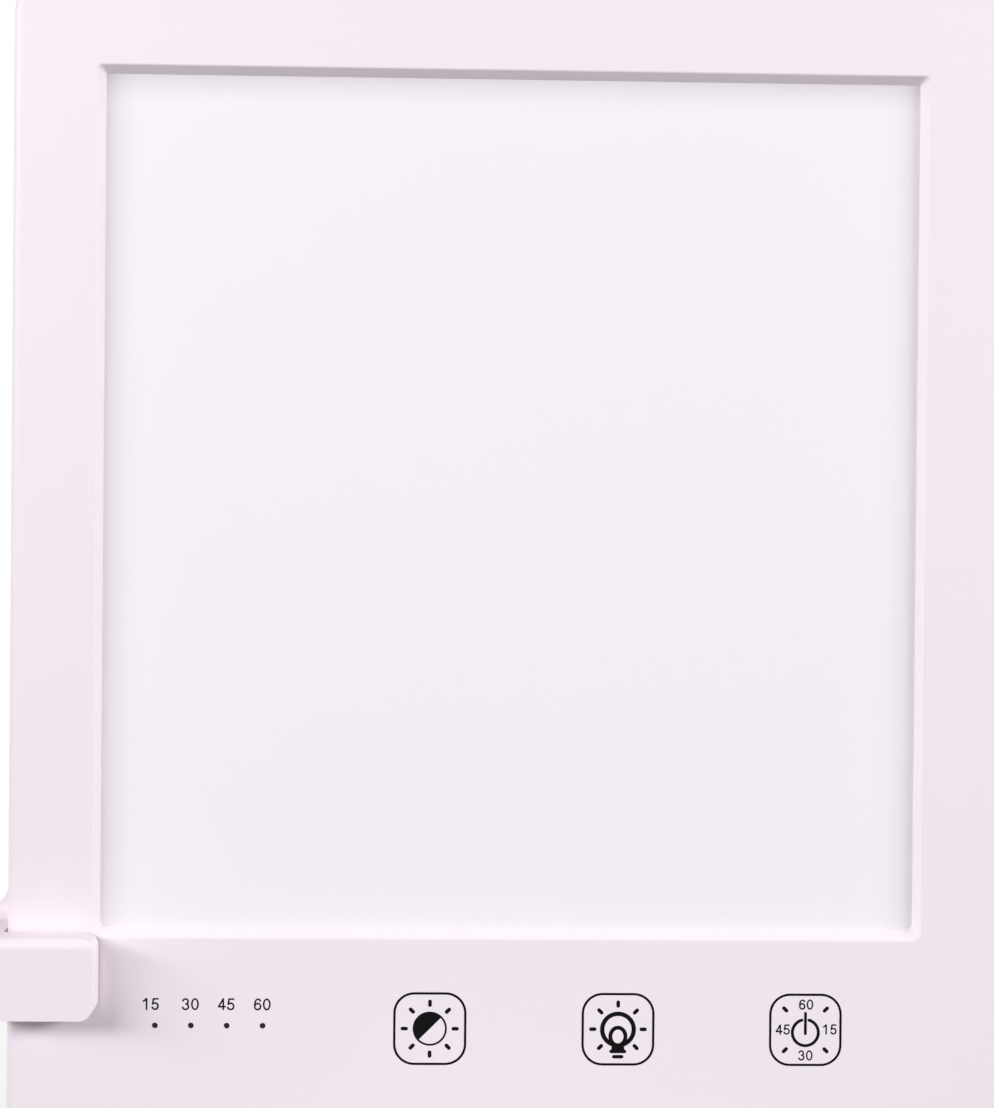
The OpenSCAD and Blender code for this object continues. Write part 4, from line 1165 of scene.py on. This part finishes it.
def solidBoxes(node):
    # The low and high corner of each separate solid of a node
    mesh = bmesh.new()
    mesh.from_mesh(frame["nodes"][node].data)
    bmesh.ops.remove_doubles(mesh, verts=mesh.verts, dist=1e-6)
    seen, boxes = set(), []
    for start in mesh.verts:
        if start in seen:
            continue
        group, queue = [], [start]
        seen.add(start)
        while queue:
            vert = queue.pop()
            group.append(vert.co)
            for edge in vert.link_edges:
                other = edge.other_vert(vert)
                if other not in seen:
                    seen.add(other)
                    queue.append(other)
        low = [min(c[i] for c in group) / mm for i in range(3)]
        high = [max(c[i] for c in group) / mm for i in range(3)]
        boxes.append((low, high))
    mesh.free()
    return boxes


towardsBack = Matrix.Rotation(math.radians(-90), 3, "X")  # screw's head faces +Y
towardsFloor = Matrix.Rotation(math.radians(180), 3, "X")  # screw's head faces -Z
for node, name, body, headD, headH, shankD in (
    ("housing_screws", "housingScrews", "head", 5.0, 1.8, 2.6),
    ("bracket_screws", "bracketScrews", "head", 7.2, 2.2, 4.0),
    ("arm_cover_screws", "armCoverScrews", "arm", 4.4, 0.8, 2.2),
):
    solids = solidBoxes(node)
    low, high = solids[0]
    length = high[1] - low[1] - headH
    places = [((l[0] + h[0]) / 2, h[1] - headH, (l[2] + h[2]) / 2) for l, h in solids]
    screwSet(node, name, body, headD, headH, shankD, length, places, towardsBack)
solids = solidBoxes("base_screws")
low, high = solids[0]
headH = 0.9
places = [((l[0] + h[0]) / 2, (l[1] + h[1]) / 2, l[2] + headH) for l, h in solids]
length = high[2] - low[2] - headH
screwSet("base_screws", "baseScrews", "base", 5.0, headH, 2.6, length, places, towardsFloor)
print("screws set")


# ---- Finish on the nodes that keep their own solids ----

slotOf = {part["node"]: part["material_slot"] for part in frame["record"]["subparts"]}
for node, solid in frame["nodes"].items():
    if not solid.hide_render:
        finish = materials[slotOf[node]]
        if not solid.material_slots:
            solid.data.materials.append(finish)
        for place in solid.material_slots:
            place.material = finish


# ---- Stage and light ----

whiteTo = ("Is Camera Ray", "Is Glossy Ray", "Is Transmission Ray")
stage = {
    "half": 4000, "colour": "#E9E9EA", "bounce": "#848487",
    "whiteShare": 0.72, "shadowReach": 260, "whiteFrom": 620,  # all white past the shadow, so no horizon shows
}


def buildStage():
    half = stage["half"] * mm
    mesh = bpy.data.meshes.new("studioFloor")
    corners = [(-half, -half, 0), (half, -half, 0), (half, half, 0), (-half, half, 0)]
    mesh.from_pydata(corners, [], [(0, 1, 2, 3)])
    floor = newPiece("studioFloor", mesh)
    material = bpy.data.materials.new("paleFloor")
    material.use_nodes = True
    tree = material.node_tree
    tree.nodes.remove(tree.nodes["Principled BSDF"])
    seen = raysOf(tree, *whiteTo)
    pale = addNode(tree, "ShaderNodeBsdfDiffuse", {"Color": linear(stage["colour"])})
    bounce = addNode(tree, "ShaderNodeBsdfDiffuse", {"Color": linear(stage["bounce"])})
    glow = addNode(tree, "ShaderNodeEmission", {"Color": (1, 1, 1, 1), "Strength": 1.0})
    place = addNode(tree, "ShaderNodeTexCoord")
    away = addNode(tree, "ShaderNodeVectorMath", {"operation": "LENGTH"}, {0: place.outputs["Object"]})
    share = addNode(
        tree, "ShaderNodeMapRange",
        {
            "interpolation_type": "SMOOTHSTEP", "From Min": stage["shadowReach"] * mm,
            "From Max": stage["whiteFrom"] * mm, "To Min": stage["whiteShare"], "To Max": 1.0,
        },
        {"Value": away.outputs["Value"]},
    )
    seenFloor = addNode(
        tree, "ShaderNodeMixShader", None,
        {0: share.outputs["Result"], 1: pale.outputs[0], 2: glow.outputs[0]},
    )
    mixed = addNode(
        tree, "ShaderNodeMixShader", None,
        {0: seen, 1: bounce.outputs[0], 2: seenFloor.outputs[0]},
    )
    tree.links.new(mixed.outputs[0], tree.nodes["Material Output"].inputs["Surface"])
    floor.data.materials.append(material)


studio = {
    "surround": "#FFFFFF",
    "surroundStrength": 0.18,
    "lamps": (
        # name, place, width, height, watts
        ("leftSoftbox", (-1450, -850, 650), 1000, 300, 14),
        ("rightSoftbox", (1450, -850, 650), 1000, 300, 20.5),
        ("keySoftbox", (-850, -1300, 740), 560, 420, 7.1),
        ("backSoftbox", (700, 1500, 1000), 1200, 1200, 16),
    ),
    "aim": (0, 0, 170),
}


def buildLight():
    world = bpy.data.worlds.new("studioSurround")
    bpy.context.scene.world = world
    world.use_nodes = True
    tree = world.node_tree
    strength = addNode(
        tree, "ShaderNodeMapRange", {"To Min": studio["surroundStrength"], "To Max": 1.0},
        {"Value": raysOf(tree, *whiteTo)},
    )
    sky = tree.nodes["Background"]
    sky.inputs["Color"].default_value = linear(studio["surround"])
    tree.links.new(strength.outputs["Result"], sky.inputs["Strength"])
    for name, place, width, height, watts in studio["lamps"]:
        data = bpy.data.lights.new(name, "AREA")
        data.shape = "RECTANGLE"
        data.size, data.size_y, data.energy = width * mm, height * mm, watts
        lamp = bpy.data.objects.new(name, data)
        place = Vector(place) * mm
        turn = (place - Vector(studio["aim"]) * mm).to_track_quat("Z", "Y")
        lamp.matrix_world = Matrix.Translation(place) @ turn.to_matrix().to_4x4()
        bpy.context.scene.collection.objects.link(lamp)


buildStage()
buildLight()
print("stage and light ready")
